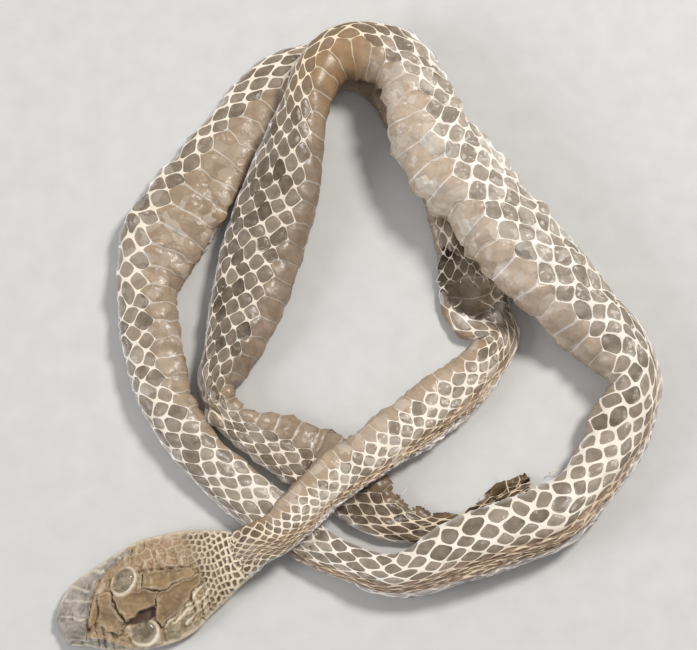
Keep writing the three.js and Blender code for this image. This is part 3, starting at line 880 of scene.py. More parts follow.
# %% Roll the pattern up into the tube
def roll_up(flat, values):
    turn = np.interp(flat[:, 1], ROW_NUMBERS, ROW_PLACES) / FULL_GIRTH
    number = flat[:, 0]
    rough_station = np.interp(number, SCUTE_TABLE, fine)
    growth = stretch_value(rough_station, WINDOWS) + SIZE_SPREAD * (values["tone"] - 0.5) - 1
    number = number + growth * values["spread_x"]
    turn = turn + growth * values["spread_y"] * ROW_STEP / FULL_GIRTH
    number = number + STRAY_ALONG * ripple(number, turn, 11, (0.9, 2.6), 8)
    turn = turn + STRAY_ROUND * ripple(number, turn, 12, (0.9, 3.0), 8)
    station = np.interp(np.clip(number, -1, SCUTES), SCUTE_TABLE, fine)
    size = np.interp(station, fine, girths) / FULL_GIRTH
    angle = 2 * math.pi * turn
    squeeze = stretch_value(station, SQUEEZE)
    side = np.radians(stretch_value(station, SIDE))
    slip = stretch_value(station, SLIP) / 360
    share = (angle - squeeze * np.sin(angle - side)) / (2 * math.pi) + slip
    drawn = ease(squeeze * np.cos(angle - side), DRAWN_FROM, DRAWN_TO)
    unevenness = 0.8 + 0.25 * ripple(number, turn, 13, (3, 9), 6)
    pleat = -(0.5 + 0.5 * np.cos(2 * math.pi * flat[:, 1])) * drawn * unevenness
    on_back = flat[:, 1] < ROWS
    out = flat[:, 2] * size
    out += np.where(on_back, pleat, 0) * stretch_value(station, PLEATS)
    swell = ease(np.abs(flat[:, 1] - BELLY_MIDDLE), SWELL_EDGE, SWELL_FULL)
    swell = np.where(on_back, 0, swell * np.sin(math.pi * (flat[:, 0] % 1)))
    out += swell * stretch_value(station, SWELL)
    out += dents_of(number, turn) * stretch_value(station, DENTS)
    round_tube = angle_at(station, share)
    places = skin_point(station, round_tube, out)
    light, warm, crumpled = (stretch_value(station, column) for column in (LIGHT, WARM, CRUMPLED))
    plan_x, plan_y = in_plan(places)
    for x, y, radius in PALE_SCUFFS:
        gap = np.hypot(plan_x - x, plan_y - y)
        scuff = ease(-gap, -radius, -0.5 * radius) * (np.abs(station - SCUFF_STATION) < SCUFF_REACH)
        light = light + 0.9 * scuff * (1 - light)
        warm = warm * (1 - 0.7 * scuff)
        crumpled = np.maximum(crumpled, scuff)
    # the last value is painted light along the sides of the tube, where it turns away from the top
    return places, station, {
        "tone": values["tone"], "light": light, "warm": warm, "drawn": drawn, "crumpled": crumpled,
        "side_light": ease(np.abs(np.sin(round_tube)), SIDE_LIGHT_FROM, SIDE_LIGHT_TO),
    }


places, stations, values = roll_up(flat, values)
print("rolled up, mm:", (places.min(0) / MM).round(1), (places.max(0) / MM).round(1))

# %% [markdown]
# ## The torn places
# Where the neck folds over at the far side the top of the tube has torn open, and the scutes of
# its underside show from within. Round the hole only the net is left, its thin windows gone.
# The tail end is in rags along its upper edge. A tear runs along the net, so whole faces are
# taken out: all of them inside the torn outline, and only windows in the zone round it.

# %% Outlines of the tears, in plan, and what is left inside them
HOLE = [
    (24.6, 9.8), (27.6, 10.2), (29.4, 8.2), (30.8, 9.6), (32.6, 8.4), (34.3, 10.6), (36.8, 9.0),
    (38.9, 4.6), (38.0, 2.0), (34.6, 1.4), (32.0, 0.2), (29.6, 1.6), (27.0, 2.3), (24.8, 5.2),
]
BARE_NET = [
    (23.0, 8.0), (22.0, 14.0), (24.0, 19.5), (29.0, 16.0), (35.0, 14.0), (39.0, 9.0), (30.0, 6.0),
]
RAGS = [
    (10.6, -38.0), (10.6, -42.6), (13.0, -44.6), (15.0, -46.6), (17.4, -46.0), (20.0, -48.2),
    (23.0, -47.4), (26.0, -48.0), (30.0, -46.0), (34.0, -43.6), (33.0, -38.0),
]
UPPER_SHARE = 0.45  # only skin above this share of the tube's height is torn in the fold
FOLD_START, FOLD_END, TAIL_START = 17.5, 22.5, 76.2  # stations


def within(x, y, outline):
    """Whether places lie inside a closed outline, by counting the sides that they look across."""
    hits = np.zeros(np.shape(x), int)
    for (x0, y0), (x1, y1) in zip(outline, outline[1:] + outline[:1]):
        spans = (y0 > y) != (y1 > y)
        crossing = x0 + (y - y0) * (x1 - x0) / (y1 - y0 if y1 != y0 else 1e-9)
        hits += spans & (x < crossing)
    return hits % 2 == 1


def torn_away(places, faces, finishes, stations):
    """Marks the faces that are gone."""
    corners = np.where(faces[:, 3:] >= 0, faces, faces[:, [0, 1, 2, 2]])
    middles = places[corners].mean(1)
    station = stations[corners].mean(1)
    x, y = in_plan(middles)
    upper = middles[:, 2] / MM > along(station, LIFT) + UPPER_SHARE * along(station, HEIGHT)
    fold = (station > FOLD_START) & (station < FOLD_END) & upper
    bare = (finishes == WINDOW) & within(x, y, BARE_NET)
    return (fold & (within(x, y, HOLE) | bare)) | ((station > TAIL_START) & within(x, y, RAGS))


print("corners round the hole:", len(HOLE))

# %% [markdown]
# ## The skin in pieces
# The tube is one grown piece. Its mesh is parted only where another turn of the coil hides the
# join, so that no piece is too heavy. Solidify then gives the film its thickness, inwards.

# %% Make meshes from arrays
SKIN_THICKNESS = 0.12 * MM


def between_rings(start, rings, sides):
    """Faces that join rings of points, each closed round."""
    here = start + np.arange((rings - 1) * sides).reshape(-1, sides)
    after = np.roll(here, -1, 1)
    return np.stack([here, after, after + sides, here + sides], -1).reshape(-1, 4)


def make_piece(name, places, faces, finishes, values, materials):
    used = np.unique(faces[faces >= 0])
    renumber = np.zeros(len(places), int)
    renumber[used] = np.arange(len(used))
    sizes = (faces >= 0).sum(1)
    corners = renumber[faces[faces >= 0]]
    mesh = bpy.data.meshes.new(name)
    mesh.vertices.add(len(used))
    mesh.vertices.foreach_set("co", places[used].ravel())
    mesh.loops.add(len(corners))
    mesh.loops.foreach_set("vertex_index", corners)
    mesh.polygons.add(len(sizes))
    mesh.polygons.foreach_set("loop_start", np.concatenate([[0], np.cumsum(sizes)[:-1]]))
    mesh.polygons.foreach_set("material_index", finishes)
    mesh.polygons.foreach_set("use_smooth", np.ones(len(sizes), bool))
    for material in materials:
        mesh.materials.append(material)
    for key, value in values.items():
        mesh.attributes.new(key, "FLOAT", "POINT").data.foreach_set("value", value[used])
    mesh.update(calc_edges=True)
    mesh.validate()
    return put(name, mesh)


def thicken(piece, thickness):
    wall = piece.modifiers.new("film", "SOLIDIFY")
    wall.thickness = thickness
    wall.offset = -1


def settle(piece):
    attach(piece, BODY)
    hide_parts(NODE)


print("film:", round(SKIN_THICKNESS / MM, 2), "mm")

# %% The four lengths of skin
LENGTHS = {
    "neck_skin": (0, 27.5), "outer_skin": (27.5, 40.5), "full_skin": (40.5, 74.5), "tail_skin": (74.5, 99),
}
faces = np.where(faces[:, 3:] >= 0, faces[:, ::-1], faces[:, [2, 1, 0, 3]])
station_of_face = np.where(faces >= 0, stations[faces], 0).sum(1) / (faces >= 0).sum(1)
gone = torn_away(places, faces, finishes, stations)
print("torn away:", gone.sum(), "faces")
for name, (start, end) in LENGTHS.items():
    here = (station_of_face >= start) & (station_of_face < end) & ~gone
    piece = make_piece(name, places, faces[here], finishes[here], values, body_finishes)
    thicken(piece, SKIN_THICKNESS)
    settle(piece)
    print(name, here.sum(), "faces")

# %% [markdown]
# ## Wisps
# Threads of the net stand loose where the skin tore: at the tail, along its ragged edge and by
# the hole in the fold. Each is a thin tapering thread bent along a few points.

# %% Loose threads: points in plan and height, in mm
WISPS = [
    [(38.9, -42.8, 1.6), (38.2, -41.0, 2.6), (38.0, -39.0, 2.9), (37.0, -37.6, 2.4)],
    [(40.6, -41.4, 1.8), (41.6, -39.8, 2.6), (41.0, -38.6, 3.0)],
    [(48.6, -38.0, 1.6), (49.8, -37.0, 2.2), (51.2, -37.4, 2.0), (52.0, -38.6, 1.2)],
    [(33.0, -44.4, 1.2), (32.6, -43.0, 2.0), (33.4, -42.2, 2.2)],
    [(17.8, -46.6, 1.8), (18.4, -45.0, 2.4), (19.6, -44.4, 2.2)],
    [(12.2, -43.6, 2.6), (13.6, -42.6, 3.0), (14.2, -41.4, 2.6)],
    [(36.2, 3.2, 3.6), (35.0, 4.4, 3.2), (33.8, 4.6, 3.4), (33.0, 5.6, 2.8)],
    [(26.2, 3.6, 3.4), (27.6, 4.4, 3.0), (28.2, 5.8, 2.6)],
]
WISP_RADIUS = 0.17
WISP_SIDES = 5
WISP_STEPS = 7
WISP_VALUES = {"light": 0.5, "warm": 0.8, "tone": 0.5, "drawn": 0.0}


def make_wisps():
    places, faces = [], []
    for points in WISPS:
        points = np.array(points) - (*COIL_MIDDLE, 0)
        at = np.linspace(0, len(points) - 1, WISP_STEPS)
        line = np.stack([np.interp(at, range(len(points)), points[:, c]) for c in range(3)], 1)
        line[1:-1] = 0.5 * line[1:-1] + 0.25 * (line[:-2] + line[2:])
        way = np.gradient(line, axis=0)
        way /= np.linalg.norm(way, axis=1)[:, None]
        side = np.cross(way, (0, 0, 1))
        side /= np.linalg.norm(side, axis=1)[:, None]
        up = np.cross(side, way)
        thickness = WISP_RADIUS * np.linspace(1, 0.3, WISP_STEPS)[:, None, None]
        turn = np.arange(WISP_SIDES) * 2 * math.pi / WISP_SIDES
        ring = np.sin(turn)[:, None] * side[:, None] + np.cos(turn)[:, None] * up[:, None]
        start = sum(len(p) for p in places)
        places.append((line[:, None] + thickness * ring).reshape(-1, 3) * MM)
        faces += list(between_rings(start, WISP_STEPS, WISP_SIDES))
        end = start + (WISP_STEPS - 1) * WISP_SIDES
        for k in range(1, WISP_SIDES - 1):
            faces += [(start, start + k + 1, start + k, -1), (end, end + k, end + k + 1, -1)]
    places, faces = np.concatenate(places), np.array(faces)
    values = {key: np.full(len(places), value) for key, value in WISP_VALUES.items()}
    wisps = make_piece("wisps", places, faces, np.zeros(len(faces), int), values, (hinge_skin,))
    settle(wisps)
    return wisps


wisps = make_wisps()
print("wisps:", len(wisps.data.polygons), "faces")

# %% [markdown]
# ## The head
# The shed starts to peel at the lips, so the head comes off first and dries flat and crumpled.
# It is a mesh of its own: a fine grid over the flattened head, whose points are pushed up and
# down by the things that are there. Places on it are given in millimetres back from the line
# between the eyes and to the left of the middle. Four brown plates of the crown have kept their
# shape, a slit has opened between two of them, each eye has a round clear cap in a raised
# pale rim, and the lips are thin and colourless. Behind them come fine scales, like grains. The
# slit, the nostril, the seams round the plates and a crease of the crown are painted dark, as
# painted shadow.

# %% The features of the head, in mm back from the eyes and to the left
EYE_STATION = 3.05
EYES = [(-0.3, 4.7, 3.4, 2.5, 35), (0.7, -8.3, 2.8, 2.6, 0)]  # back, left, long and short radius, turn
CROWN_PLATES = {
    "snout": [
        (-8.6, -3.1), (-7.0, 3.3), (-4.7, 3.2), (-4.8, 0.0), (-3.3, -4.6), (-4.9, -6.9), (-7.5, -5.0),
    ],
    "brow": [
        (-4.1, 1.7), (-0.7, 1.3), (4.0, 0.6), (6.6, -0.8), (5.6, -1.9), (4.6, -3.2), (1.1, -3.4),
        (-2.2, -4.7), (-2.8, -3.7), (-3.6, -0.6),
    ],
    "left_crown": [
        (4.8, 4.8), (11.4, 2.8), (15.0, 1.2), (16.0, -0.9), (11.6, -0.5), (7.1, -0.4), (3.8, 1.2),
    ],
    "right_crown": [
        (7.3, -1.1), (11.6, -0.9), (17.8, -1.3), (16.4, -3.0), (11.8, -5.3), (8.8, -6.8),
        (4.3, -8.5), (4.2, -6.9), (5.3, -3.9), (5.8, -2.1),
    ],
}
PLATE_TILTS = {  # rise per mm back and to the left
    "snout": (0.0, -0.04), "brow": (0.05, 0.05),
    "left_crown": (0.0, -0.12), "right_crown": (-0.03, 0.07),
}
SLIT = [
    (-2.6, -4.9), (0.6, -3.7), (4.5, -3.5), (5.1, -4.1), (4.2, -6.0), (2.0, -6.2), (-0.7, -5.9),
    (-3.3, -6.4),
]
NOSTRIL = (-12.0, -3.4)
LIP_FOLD = [
    (-13.7, -4.8), (-12.3, -2.5), (-10.5, -0.6), (-8.6, 3.2), (-6.4, 6.3), (-3.5, 8.6), (0.3, 9.8),
    (4.2, 11.0),
]
LOWER_LIP_FOLD = [(-13.7, -4.8), (-8.5, -6.8), (-5.2, -9.1), (-2.9, -10.6), (3.0, -11.6)]
BEYOND_LIP = [(-2, 16), (-20, 12), (-22, -6)]  # off the head, to close the lips' outlines
BEYOND_LOWER_LIP = [(3, -17), (-22, -17), (-22, -4)]
LIP_SEAMS = [
    [(-16.6, 2.5), (-12.0, -1.1)], [(-13.8, 5.6), (-9.3, 1.9)], [(-11.4, 7.6), (-9.0, 4.9)],
    [(-8.4, 9.9), (-4.6, 8.6)], [(-4.6, 11.2), (-3.0, 9.3)], [(-1.3, 11.9), (0.6, 9.6)],
]
TEMPLE_LINES = [
    [(5.3, -8.9), (9.2, -6.9), (13.1, -6.1), (17.2, -3.6)],
    [(6.8, -9.0), (10.8, -7.9), (15.7, -6.9), (18.2, -5.4)],
    [(9.0, -10.4), (13.0, -9.0), (17.0, -8.0)],
]
CROWN_CREASE = [(3.4, 5.8), (7.5, 4.9), (11.4, 3.4), (15.6, 1.4)]
JAW_FLAP = [(5.0, -9.2), (10.1, -8.2), (15.6, -8.9), (13.5, -11.9), (8.5, -13.5), (3.2, -12.6)]
print(len(CROWN_PLATES), "plates,", len(EYES), "eyes,", len(LIP_SEAMS), "seams of the lips")

# %% Distances on the head
BATCH = 4000  # points at a time, to spare memory


def to_segments(back, left, points, closed=False):
    """Distance in mm to a line of points."""
    points = np.array(points, float)
    ends = np.roll(points, -1, 0) if closed else points[1:]
    nearest = np.full(back.shape, 1e9)
    for (b0, l0), (b1, l1) in zip(points, ends):
        length = (b1 - b0) ** 2 + (l1 - l0) ** 2
        share = np.clip(((back - b0) * (b1 - b0) + (left - l0) * (l1 - l0)) / length, 0, 1)
        gap = np.hypot(back - b0 - share * (b1 - b0), left - l0 - share * (l1 - l0))
        nearest = np.minimum(nearest, gap)
    return nearest


def inside(back, left, outline):
    """Distance in mm to an outline, positive inside it."""
    gap = to_segments(back, left, outline, closed=True)
    return np.where(within(back, left, outline), gap, -gap)


def line_of(gap, width):
    """A soft line of some width along which a gap is nothing."""
    return np.exp(-((gap / width) ** 2))


def lines_of(place, lines, width=0.2):
    return np.max([line_of(to_segments(*place, line), width) for line in lines], 0)


def cell_borders(back, left, middles):
    """How far a point is from the border of its cell, in mm, and which cell it is in."""
    border = np.empty(back.shape)
    whose = np.empty(back.shape, int)
    for start in range(0, len(back), BATCH):
        part = slice(start, start + BATCH)
        gaps = np.hypot(back[part, None] - middles[:, 0], left[part, None] - middles[:, 1])
        order = np.argpartition(gaps, 1, axis=1)
        rows = np.arange(len(gaps))
        first, second = gaps[rows, order[:, 0]], gaps[rows, order[:, 1]]
        apart = np.linalg.norm(middles[order[:, 0]] - middles[order[:, 1]], axis=1)
        border[part] = (second**2 - first**2) / (2 * apart)
        whose[part] = order[:, 0]
    return border, whose


def crumple(back, left, seed, lengths, waves):
    """Creased noise of about 0 to 1: sharp folds between soft hollows."""
    rng = np.random.default_rng(seed)
    total = np.zeros(back.shape)
    for _ in range(waves):
        way, phase = rng.uniform(0, 2 * math.pi, 2)
        pace = math.pi / rng.uniform(*lengths)
        bend = 0.6 * np.sin(0.5 * pace * (left * math.cos(way) - back * math.sin(way)) + phase)
        total += np.abs(np.sin(pace * (back * math.cos(way) + left * math.sin(way)) + phase + bend))
    return 1 - total / waves


nostril_gap = to_segments(*np.array(NOSTRIL)[:, None], LIP_FOLD)[0]
print("from the nostril to the fold of the lip:", nostril_gap.round(1), "mm")

# %% Middles of the grains: fine scales that grow from the temples to the neck
GRAIN_SEED = 21
GRAIN_PLACES, GRAIN_PITCHES = [-20, 0, 12, 17, 21, 30], [3.4, 3.2, 2.6, 1.55, 1.6, 2.2]
GRAINS_FROM, GRAINS_TO, GRAINS_ASIDE = -20.0, 40, 20  # mm back, and to either side
GRAIN_ROWS = 0.82  # how close the rows lie, against the grains in a row


def grain_middles():
    rng = np.random.default_rng(GRAIN_SEED)
    middles = []
    back, row = GRAINS_FROM, 0
    while back < GRAINS_TO:
        pitch = np.interp(back, GRAIN_PLACES, GRAIN_PITCHES)
        for left in np.arange(-GRAINS_ASIDE - (row % 2) * 0.5 * pitch, GRAINS_ASIDE, pitch):
            middles.append((back, left))
        back += GRAIN_ROWS * pitch
        row += 1
    middles = np.array(middles)
    pitch = np.interp(middles[:, 0], GRAIN_PLACES, GRAIN_PITCHES)
    wander = np.interp(middles[:, 0], [0, 14, 19], [0.4, 0.34, 0.2])
    return middles + rng.uniform(-1, 1, middles.shape) * (wander * pitch)[:, None]


grains = grain_middles()
print("grains:", len(grains))

# %% The head's grid
HEAD_STEP = 0.27  # mm between rings
HEAD_TOP = 124  # points over the crown in each ring
HEAD_UNDER = 34
TOP_EDGE = math.radians(80)
NAPE_LAP = 2.0  # how far the head's mesh runs on under the first scales of the neck


def head_grid():
    """Stations and angles of the rings, evenly spread across the crown as seen from above."""
    end = np.interp(NAPE, fine, mileage) + NAPE_LAP
    stations = np.interp(np.arange(0, end, HEAD_STEP), mileage, fine)
    across = np.linspace(-1, 1, HEAD_TOP) * math.sin(TOP_EDGE)
    under = np.linspace(TOP_EDGE, 2 * math.pi - TOP_EDGE, HEAD_UNDER + 2)[1:-1]
    angles = np.concatenate([np.arcsin(across), under])
    return np.meshgrid(stations, angles, indexing="ij")


head_station, head_angle = head_grid()
head_back = np.interp(head_station, fine, mileage) - np.interp(EYE_STATION, fine, mileage)
head_left = -along(head_station, HALF_WIDTH) * np.sin(head_angle)
on_top = ease(np.cos(head_angle), 0.0, 0.35)
print("head grid:", head_station.shape)

# %% How high things stand on the head and how deep they lie, in mm
EVEN = 0.45  # the middle of the creased noise, which moves nothing
FOLDS, WRINKLES, FOLDS_LOST, WRINKLES_LOST = 2.4, 0.7, 1.9, 0.5  # the last two where grains are
NET_RISE, GRAIN_NET_RISE, GRAIN_DEPTH = 0.2, 0.34, 0.15
PLATE_RISE, PLATE_STEP, PLATE_CURL, PLATE_WRINKLES, PLATE_FOLDS = 0.3, 0.12, 0.4, 0.35, 0.9
SEAM_DEPTH, SLIT_DEPTH, NOSTRIL_DEPTH, CREASE_DEPTH = 0.5, 1.1, 0.9, 0.35
LIP_RISE, LIP_DEPTH, LOW_LIP_RISE, LINE_RISE = 0.55, 0.35, 0.4, 0.3
RIM_RISE, RIM_SLOPE, EYE_DEPTH = 0.7, 0.35, 0.75
print("deepest: the slit,", SLIT_DEPTH, "mm")

# %% The eyes: a raised rim round each, and a hollow inside it
RIM_SIDE = math.radians(-60)  # where an eye's rim stands up highest, from straight back


def eye_reach(back, left, eye):
    """How far beyond an eye's edge a place is, in mm, and in which direction."""
    eye_back, eye_left, long_way, short_way, turn = eye
    turn = math.radians(turn)
    b, a = back - eye_back, left - eye_left
    u = (b * math.cos(turn) + a * math.sin(turn)) / long_way
    v = (a * math.cos(turn) - b * math.sin(turn)) / short_way
    return (np.hypot(u, v) - 1) * short_way, np.arctan2(a, b)


def add_eyes(height, back, left, wrinkles):
    """Heights with the eyes, where their rims and hollows are, and 1 wherever neither is."""
    rim, hollow = np.zeros((2, len(back)))
    away = np.ones(len(back))
    for eye in EYES:
        beyond, way = eye_reach(back, left, eye)
        towards = np.cos(way - RIM_SIDE)
        ring = line_of(beyond - 0.1, 0.26 + 0.22 * towards + 0.08 * np.sin(5 * way))
        well = ease(-beyond, -0.2, 0.5)
        rise = RIM_RISE + RIM_SLOPE * towards + 0.6 * (wrinkles - 0.5)
        around = 1 - np.maximum(ring, well)
        height = height * around + rise * ring - EYE_DEPTH * well * (1 - ring)
        rim = np.maximum(rim, ring * (0.7 + 0.3 * towards))
        hollow = np.maximum(hollow, well)
        away = away * around
    return height, rim, hollow, away


print("eyes:", [(eye[0], eye[1]) for eye in EYES])

# %% The plates of the crown: a curled edge and a sunk seam round each
def add_plates(height, back, left, bent, creases, wrinkles):
    """Heights with the plates, and where the plates, their seams and their edges are."""
    plate, seam, edges = np.zeros((3, len(back)))
    for number, (name, outline) in enumerate(CROWN_PLATES.items()):
        depth = inside(*bent, outline) + 0.12
        here = ease(depth, -0.12, 0.12)
        middle = np.mean(outline, 0)
        slope_back, slope_left = PLATE_TILTS[name]
        rise = PLATE_RISE + PLATE_STEP * number + PLATE_CURL * line_of(depth - 0.25, 0.5)
        rise += slope_back * (back - middle[0]) + slope_left * (left - middle[1])
        rise += PLATE_WRINKLES * (wrinkles - 0.4) + PLATE_FOLDS * (creases - 0.4)
        height = height * (1 - here) + rise * here
        plate = np.maximum(plate, here)
        edges = np.maximum(edges, line_of(depth - 0.2, 0.16))
        seam = np.maximum(seam, line_of(depth + 0.06, 0.13) * (0.5 + 0.7 * creases))
    return height - SEAM_DEPTH * seam * (1 - plate), plate, seam, edges


print("plates:", list(CROWN_PLATES))

# %% The whole head: the film and its grains, then everything on it, and where each thing is
def dress_head(back, left, top):
    """Heights in mm, and values from 0 to 1 for the finish."""
    shape = back.shape
    back, left, top = back.ravel(), left.ravel(), top.ravel()
    border, whose = cell_borders(back, left, grains)
    tone = np.random.default_rng(GRAIN_SEED + 1).uniform(0, 1, len(grains))[whose]
    grainy = ease(back, 15.0, 19.0)
    rough = ease(back, 1.0, 6.0) * (1 - grainy)
    net_width = np.interp(back, [0, 16, 26], [0.07, 0.13, 0.2])
    netting = 1 - ease(border, net_width * 0.7, net_width * 1.5)
    creases = crumple(back, left, 35, (2.2, 6.0), 6)
    wrinkles = crumple(back, left, 36, (0.8, 2.2), 8)
    height = FOLDS * (creases - EVEN) + WRINKLES * (wrinkles - EVEN)
    height -= grainy * (FOLDS_LOST * (creases - EVEN) + WRINKLES_LOST * (wrinkles - EVEN))
    height += grainy * (GRAIN_NET_RISE * netting - GRAIN_DEPTH)
    height += NET_RISE * (1 - grainy) * netting
    bent = back + 1.3 * (creases - EVEN), left + 1.6 * (crumple(back, left, 37, (2.5, 6.0), 5) - EVEN)
    height, plate, seam, edges = add_plates(height, back, left, bent, creases, wrinkles)
    slit = ease(inside(*bent, SLIT), -0.1, 0.25)
    height = height * (1 - slit) - SLIT_DEPTH * slit
    plate *= 1 - slit
    # painted shadow: dark in the slit and along the sunk seams between the plates, and below in the
    # nostril and in the crease of the crown
    painted_shadow = np.maximum(slit * 0.85, 0.55 * seam * (1 - plate))
    nostril = line_of(np.hypot(back - NOSTRIL[0], left - NOSTRIL[1]), 0.75)
    height -= NOSTRIL_DEPTH * nostril
    painted_shadow = np.maximum(painted_shadow, nostril)
    fold = to_segments(back, left, LIP_FOLD)
    low_fold = to_segments(back, left, LOWER_LIP_FOLD)
    height += LIP_RISE * line_of(fold - 0.6, 0.55) - LIP_DEPTH * line_of(fold + 0.1, 0.4)
    height += LOW_LIP_RISE * line_of(low_fold, 0.5)
    upper_lip = inside(back, left, LIP_FOLD + BEYOND_LIP)
    lower_lip = inside(back, left, LOWER_LIP_FOLD + BEYOND_LOWER_LIP)
    lip = ease(np.maximum(upper_lip, lower_lip), -0.1, 0.4)
    seams = lines_of(bent, LIP_SEAMS)
    height += LINE_RISE * seams * lip
    temples = lines_of(bent, TEMPLE_LINES)
    height += LINE_RISE * temples * (1 - plate)
    crease = line_of(to_segments(back, left, CROWN_CREASE), 0.3)
    height -= CREASE_DEPTH * crease
    painted_shadow = np.maximum(painted_shadow, 0.5 * crease)
    flap = ease(inside(back, left, JAW_FLAP), -0.2, 0.6)
    height, rim, hollow, away = add_eyes(height, back, left, wrinkles)
    plate, lip, netting = plate * away, lip * away, netting * away
    bare = 1 - plate
    values = {
        "plate": plate, "painted_shadow": painted_shadow, "edge": edges * plate, "lip": lip * bare, "flap": flap * bare,
        "rim": np.maximum(rim, np.maximum(seams * lip, temples * bare)), "hollow": hollow,
        "net": netting * np.maximum(grainy, 0.35 + 0.25 * rough) * bare * (1 - slit),
        "grainy": grainy, "nape": ease(back, 20, 27), "crease": creases * (1 - grainy), "tone": tone,
    }
    faded = {key: value * (1 if key in ("tone", "lip") else top) for key, value in values.items()}
    return (height * top).reshape(shape), faded


head_height, head_values = dress_head(head_back, head_left, on_top)
head_values["brim"] = line_of(np.cos(head_angle) - 0.16, 0.17).ravel()
print("head relief, mm:", head_height.min().round(2), head_height.max().round(2))

# %% The finishes of the head
HEAD_BEIGE, HEAD_CREAM, HEAD_PINK = tint(156, 132, 98), tint(234, 220, 196), tint(164, 130, 102)
PLATE_BROWN, PLATE_UMBER = tint(162, 134, 96), tint(108, 84, 56)
LIP_PALE, LIP_GREY, FLAP_GREY = tint(194, 182, 170), tint(140, 130, 118), tint(140, 126, 98)
HEAD_SHADOW = tint(54, 28, 16)
GRAIN_BROWN, GRAIN_TAN, HEAD_NET = tint(88, 72, 50), tint(132, 110, 80), tint(206, 188, 158)
NAPE_NET = tint(234, 218, 190)
HOLLOW_GREY, HOLLOW_DARK = tint(158, 144, 118), tint(76, 66, 52)


def head_finish():
    f = Finish("head skin", Roughness=0.5)
    smear = f.noise(3.5, 3)
    crinkle = f.noise(0.5, 4, roughness=0.65)
    base = f.mix(f.spread(smear, 0.45, 0.8), HEAD_BEIGE, HEAD_PINK)
    # painted light and shade: the crumpled film is cream on the ridges of its folds and darker in the
    # hollows between them
    base = f.mix(f.spread(f.value("crease"), 0.45, 0.9), base, HEAD_CREAM)
    grain = f.mix(f.value("tone"), GRAIN_BROWN, GRAIN_TAN)
    streaks = f.noise(1.0, 4, stretch=(0.35, 1.4, 1.0))
    plate = f.mix(f.spread(smear, 0.35, 0.7), PLATE_BROWN, PLATE_UMBER)
    plate = f.mix(f.spread(streaks, 0.35, 0.7, 0.0, 0.35), plate, PLATE_UMBER)
    net = f.mix(f.value("nape"), HEAD_NET, NAPE_NET)
    hollow = f.mix(f.spread(f.noise(1.6, 3), 0.42, 0.58), HOLLOW_GREY, HOLLOW_DARK)
    # the last coat is painted shadow in the slit, the nostril, the seams and a crease
    base = f.coats(
        base,
        (grain, "grainy", 1.0), (LIP_PALE, "lip", 1.0), (FLAP_GREY, "flap", 0.8), (plate, "plate", 1.0),
        (net, "net", 1.0), (HEAD_CREAM, "edge", 0.22), (hollow, "hollow", 0.9), (HEAD_CREAM, "rim", 0.9),
        (HEAD_CREAM, "brim", 0.6), (HEAD_SHADOW, "painted_shadow", 1.0),
    )
    f.colour(base)
    f.roughness(f.spread(crinkle, 0.3, 0.7, 0.34, 0.56))
    f.bump(crinkle, FINE_GRAIN)
    return f.material


def lip_finish():
    f = Finish("lip film", Alpha=0.75)
    crinkle = f.noise(0.5, 4, roughness=0.65)
    base = f.mix(f.spread(f.noise(3.5, 2), 0.3, 0.7), LIP_PALE, LIP_GREY)
    cream = (("net", 0.8), ("rim", 0.9), ("brim", 0.85))
    f.colour(f.coats(base, *[(HEAD_CREAM, name, share) for name, share in cream]))
    f.roughness(f.spread(crinkle, 0.3, 0.7, 0.28, 0.45))
    f.bump(crinkle, FINE_GRAIN)
    return f.material


head_finishes = (head_finish(), lip_finish())
print("head finishes:", [m.name for m in head_finishes])

# %% Make the head
LIP_SHARE = 0.5  # where the film of the lips starts
NAPE_SINK = 0.3  # mm, how deep the head's end lies under the neck's first scales


def make_head():
    under = NAPE_SINK * ease(head_station, NAPE - 0.2, NAPE + 0.1)
    places = skin_point(head_station, head_angle, head_height - under)
    rings, sides = places.shape[:2]
    faces = between_rings(0, rings, sides)[:, ::-1]
    lips = head_values["lip"][faces].mean(1) > LIP_SHARE
    tip, first = rings * sides, np.arange(sides)
    snout = np.column_stack([first, np.roll(first, -1), np.full(sides, tip), np.full(sides, -1)])
    places = np.vstack([places.reshape(-1, 3), places[0].mean(0)])
    values = {key: np.append(value, value[:sides].mean()) for key, value in head_values.items()}
    finishes = np.concatenate([lips, np.ones(sides)]).astype(int)
    head = make_piece("head", places, np.vstack([faces, snout]), finishes, values, head_finishes)
    thicken(head, SKIN_THICKNESS)
    settle(head)
    return head


head = make_head()
print("head:", len(head.data.polygons), "faces")

# %% [markdown]
# ## The eye caps
# A snake has no eyelids: a clear scale covers each eye and is shed with the rest. Each one is a
# thin glassy dome that sits in its rim.

# %% Eye caps
CAP_RISE, CAP_SINK = 1.15, 0.15  # mm, of the dome and of its edge
CAP_RINGS = 9
CAP_SIDES = 36
CAP_THICKNESS = 0.16 * MM


def cap_finish():
    f = Finish("eye cap", Roughness=0.06, Alpha=0.12, IOR=1.5)
    smear = f.noise(1.2, 2)
    f.colour(f.mix(f.spread(smear, 0.35, 0.65), tint(164, 148, 118), tint(206, 196, 172)))
    f.bump(f.noise(0.9, 3), 0.05)
    return f.material


def head_place(back, left):
    """The station and the angle of a place on the crown."""
    station = np.interp(back + np.interp(EYE_STATION, fine, mileage), mileage, fine)
    sine = np.clip(-left / along(station, HALF_WIDTH), -0.985, 0.985)
    return station, np.arcsin(sine)


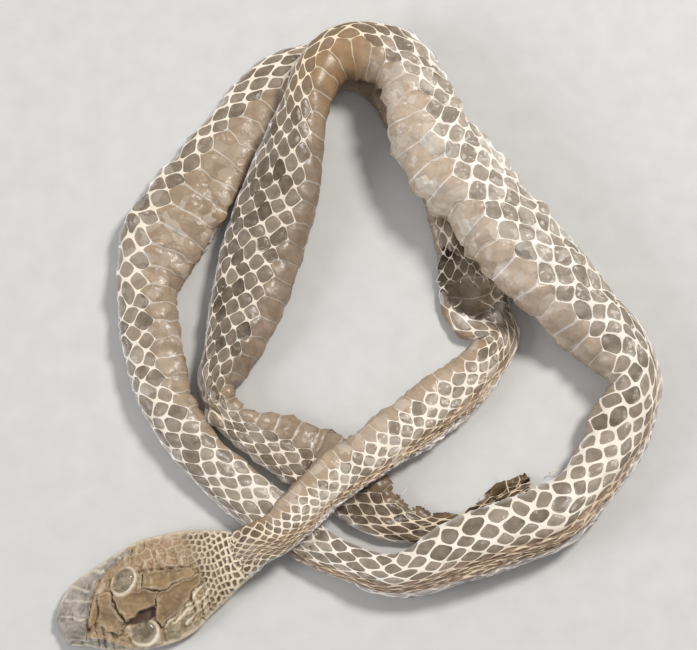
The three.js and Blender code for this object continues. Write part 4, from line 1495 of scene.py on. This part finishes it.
def make_eye_caps():
    places, faces = [], []
    for eye_back, eye_left, long_way, short_way, eye_turn in EYES:
        start = sum(len(p) for p in places)
        eye_turn = math.radians(eye_turn)
        bend = np.repeat(np.linspace(1, 0.001, CAP_RINGS), CAP_SIDES) * math.pi / 2
        turn = np.tile(np.arange(CAP_SIDES) * 2 * math.pi / CAP_SIDES, CAP_RINGS)
        u, v = long_way * np.sin(bend) * np.cos(turn), short_way * np.sin(bend) * np.sin(turn)
        cap_back = eye_back + u * math.cos(eye_turn) - v * math.sin(eye_turn)
        cap_left = eye_left + u * math.sin(eye_turn) + v * math.cos(eye_turn)
        station, angle = head_place(cap_back, cap_left)
        rise = CAP_RISE * np.cos(bend) - CAP_SINK
        places.append(skin_point(station, angle, rise))
        cap = between_rings(start, CAP_RINGS, CAP_SIDES)[:, ::-1]
        pole = start + (CAP_RINGS - 1) * CAP_SIDES
        cap[-CAP_SIDES:] = [(pole, b, a, -1) for _, _, b, a in cap[-CAP_SIDES:]]
        faces.append(cap)
    places, faces = np.concatenate(places), np.concatenate(faces)
    caps = make_piece("eye_caps", places, faces, np.zeros(len(faces), int), {}, (cap_finish(),))
    thicken(caps, CAP_THICKNESS)
    settle(caps)
    return caps


eye_caps = make_eye_caps()
print("eye caps:", len(eye_caps.data.polygons), "faces")

# %% [markdown]
# ## Floor and light
# A plain pale floor, one broad soft light high on the right that gives the folds their shade,
# and a weaker cool one from the left.

# %% Floor
FLOOR = 3.0  # metres from side to side


def add_floor():
    mesh = bpy.data.meshes.new("floor")
    far = FLOOR / 2
    corners = [(-far, -far, 0), (far, -far, 0), (far, far, 0), (-far, far, 0)]
    mesh.from_pydata(corners, [], [(0, 1, 2, 3)])
    floor = put("floor", mesh)
    f = Finish("floor paint", Roughness=0.8)
    grain = f.noise(6, 3)
    f.colour(f.mix(f.spread(grain, 0.3, 0.7), tint(206, 204, 200), tint(200, 198, 194)))
    mesh.materials.append(f.material)
    return floor


add_floor()
print("floor:", FLOOR, "m wide")

# %% Lights
def add_light(name, place, size, power, colour):
    data = bpy.data.lights.new(name, "AREA")
    data.shape, data.size, data.energy, data.color = "DISK", size, power, colour
    light = put(name, data)
    light.location = place
    light.rotation_euler = (-light.location).to_track_quat("-Z", "Y").to_euler()


add_light("key", (0.5, 0.4, 0.8), 0.24, 8.5, (1.0, 0.98, 0.95))
add_light("sky", (-0.85, -0.25, 0.45), 0.5, 5.0, (0.95, 0.97, 1.0))
world = bpy.data.worlds.new("studio")
world.use_nodes = True
sky = world.node_tree.nodes["Background"].inputs
sky["Color"].default_value = (0.9, 0.93, 1.0, 1)
sky["Strength"].default_value = 0.4
bpy.context.scene.world = world
bpy.context.scene.view_settings.view_transform = "Standard"
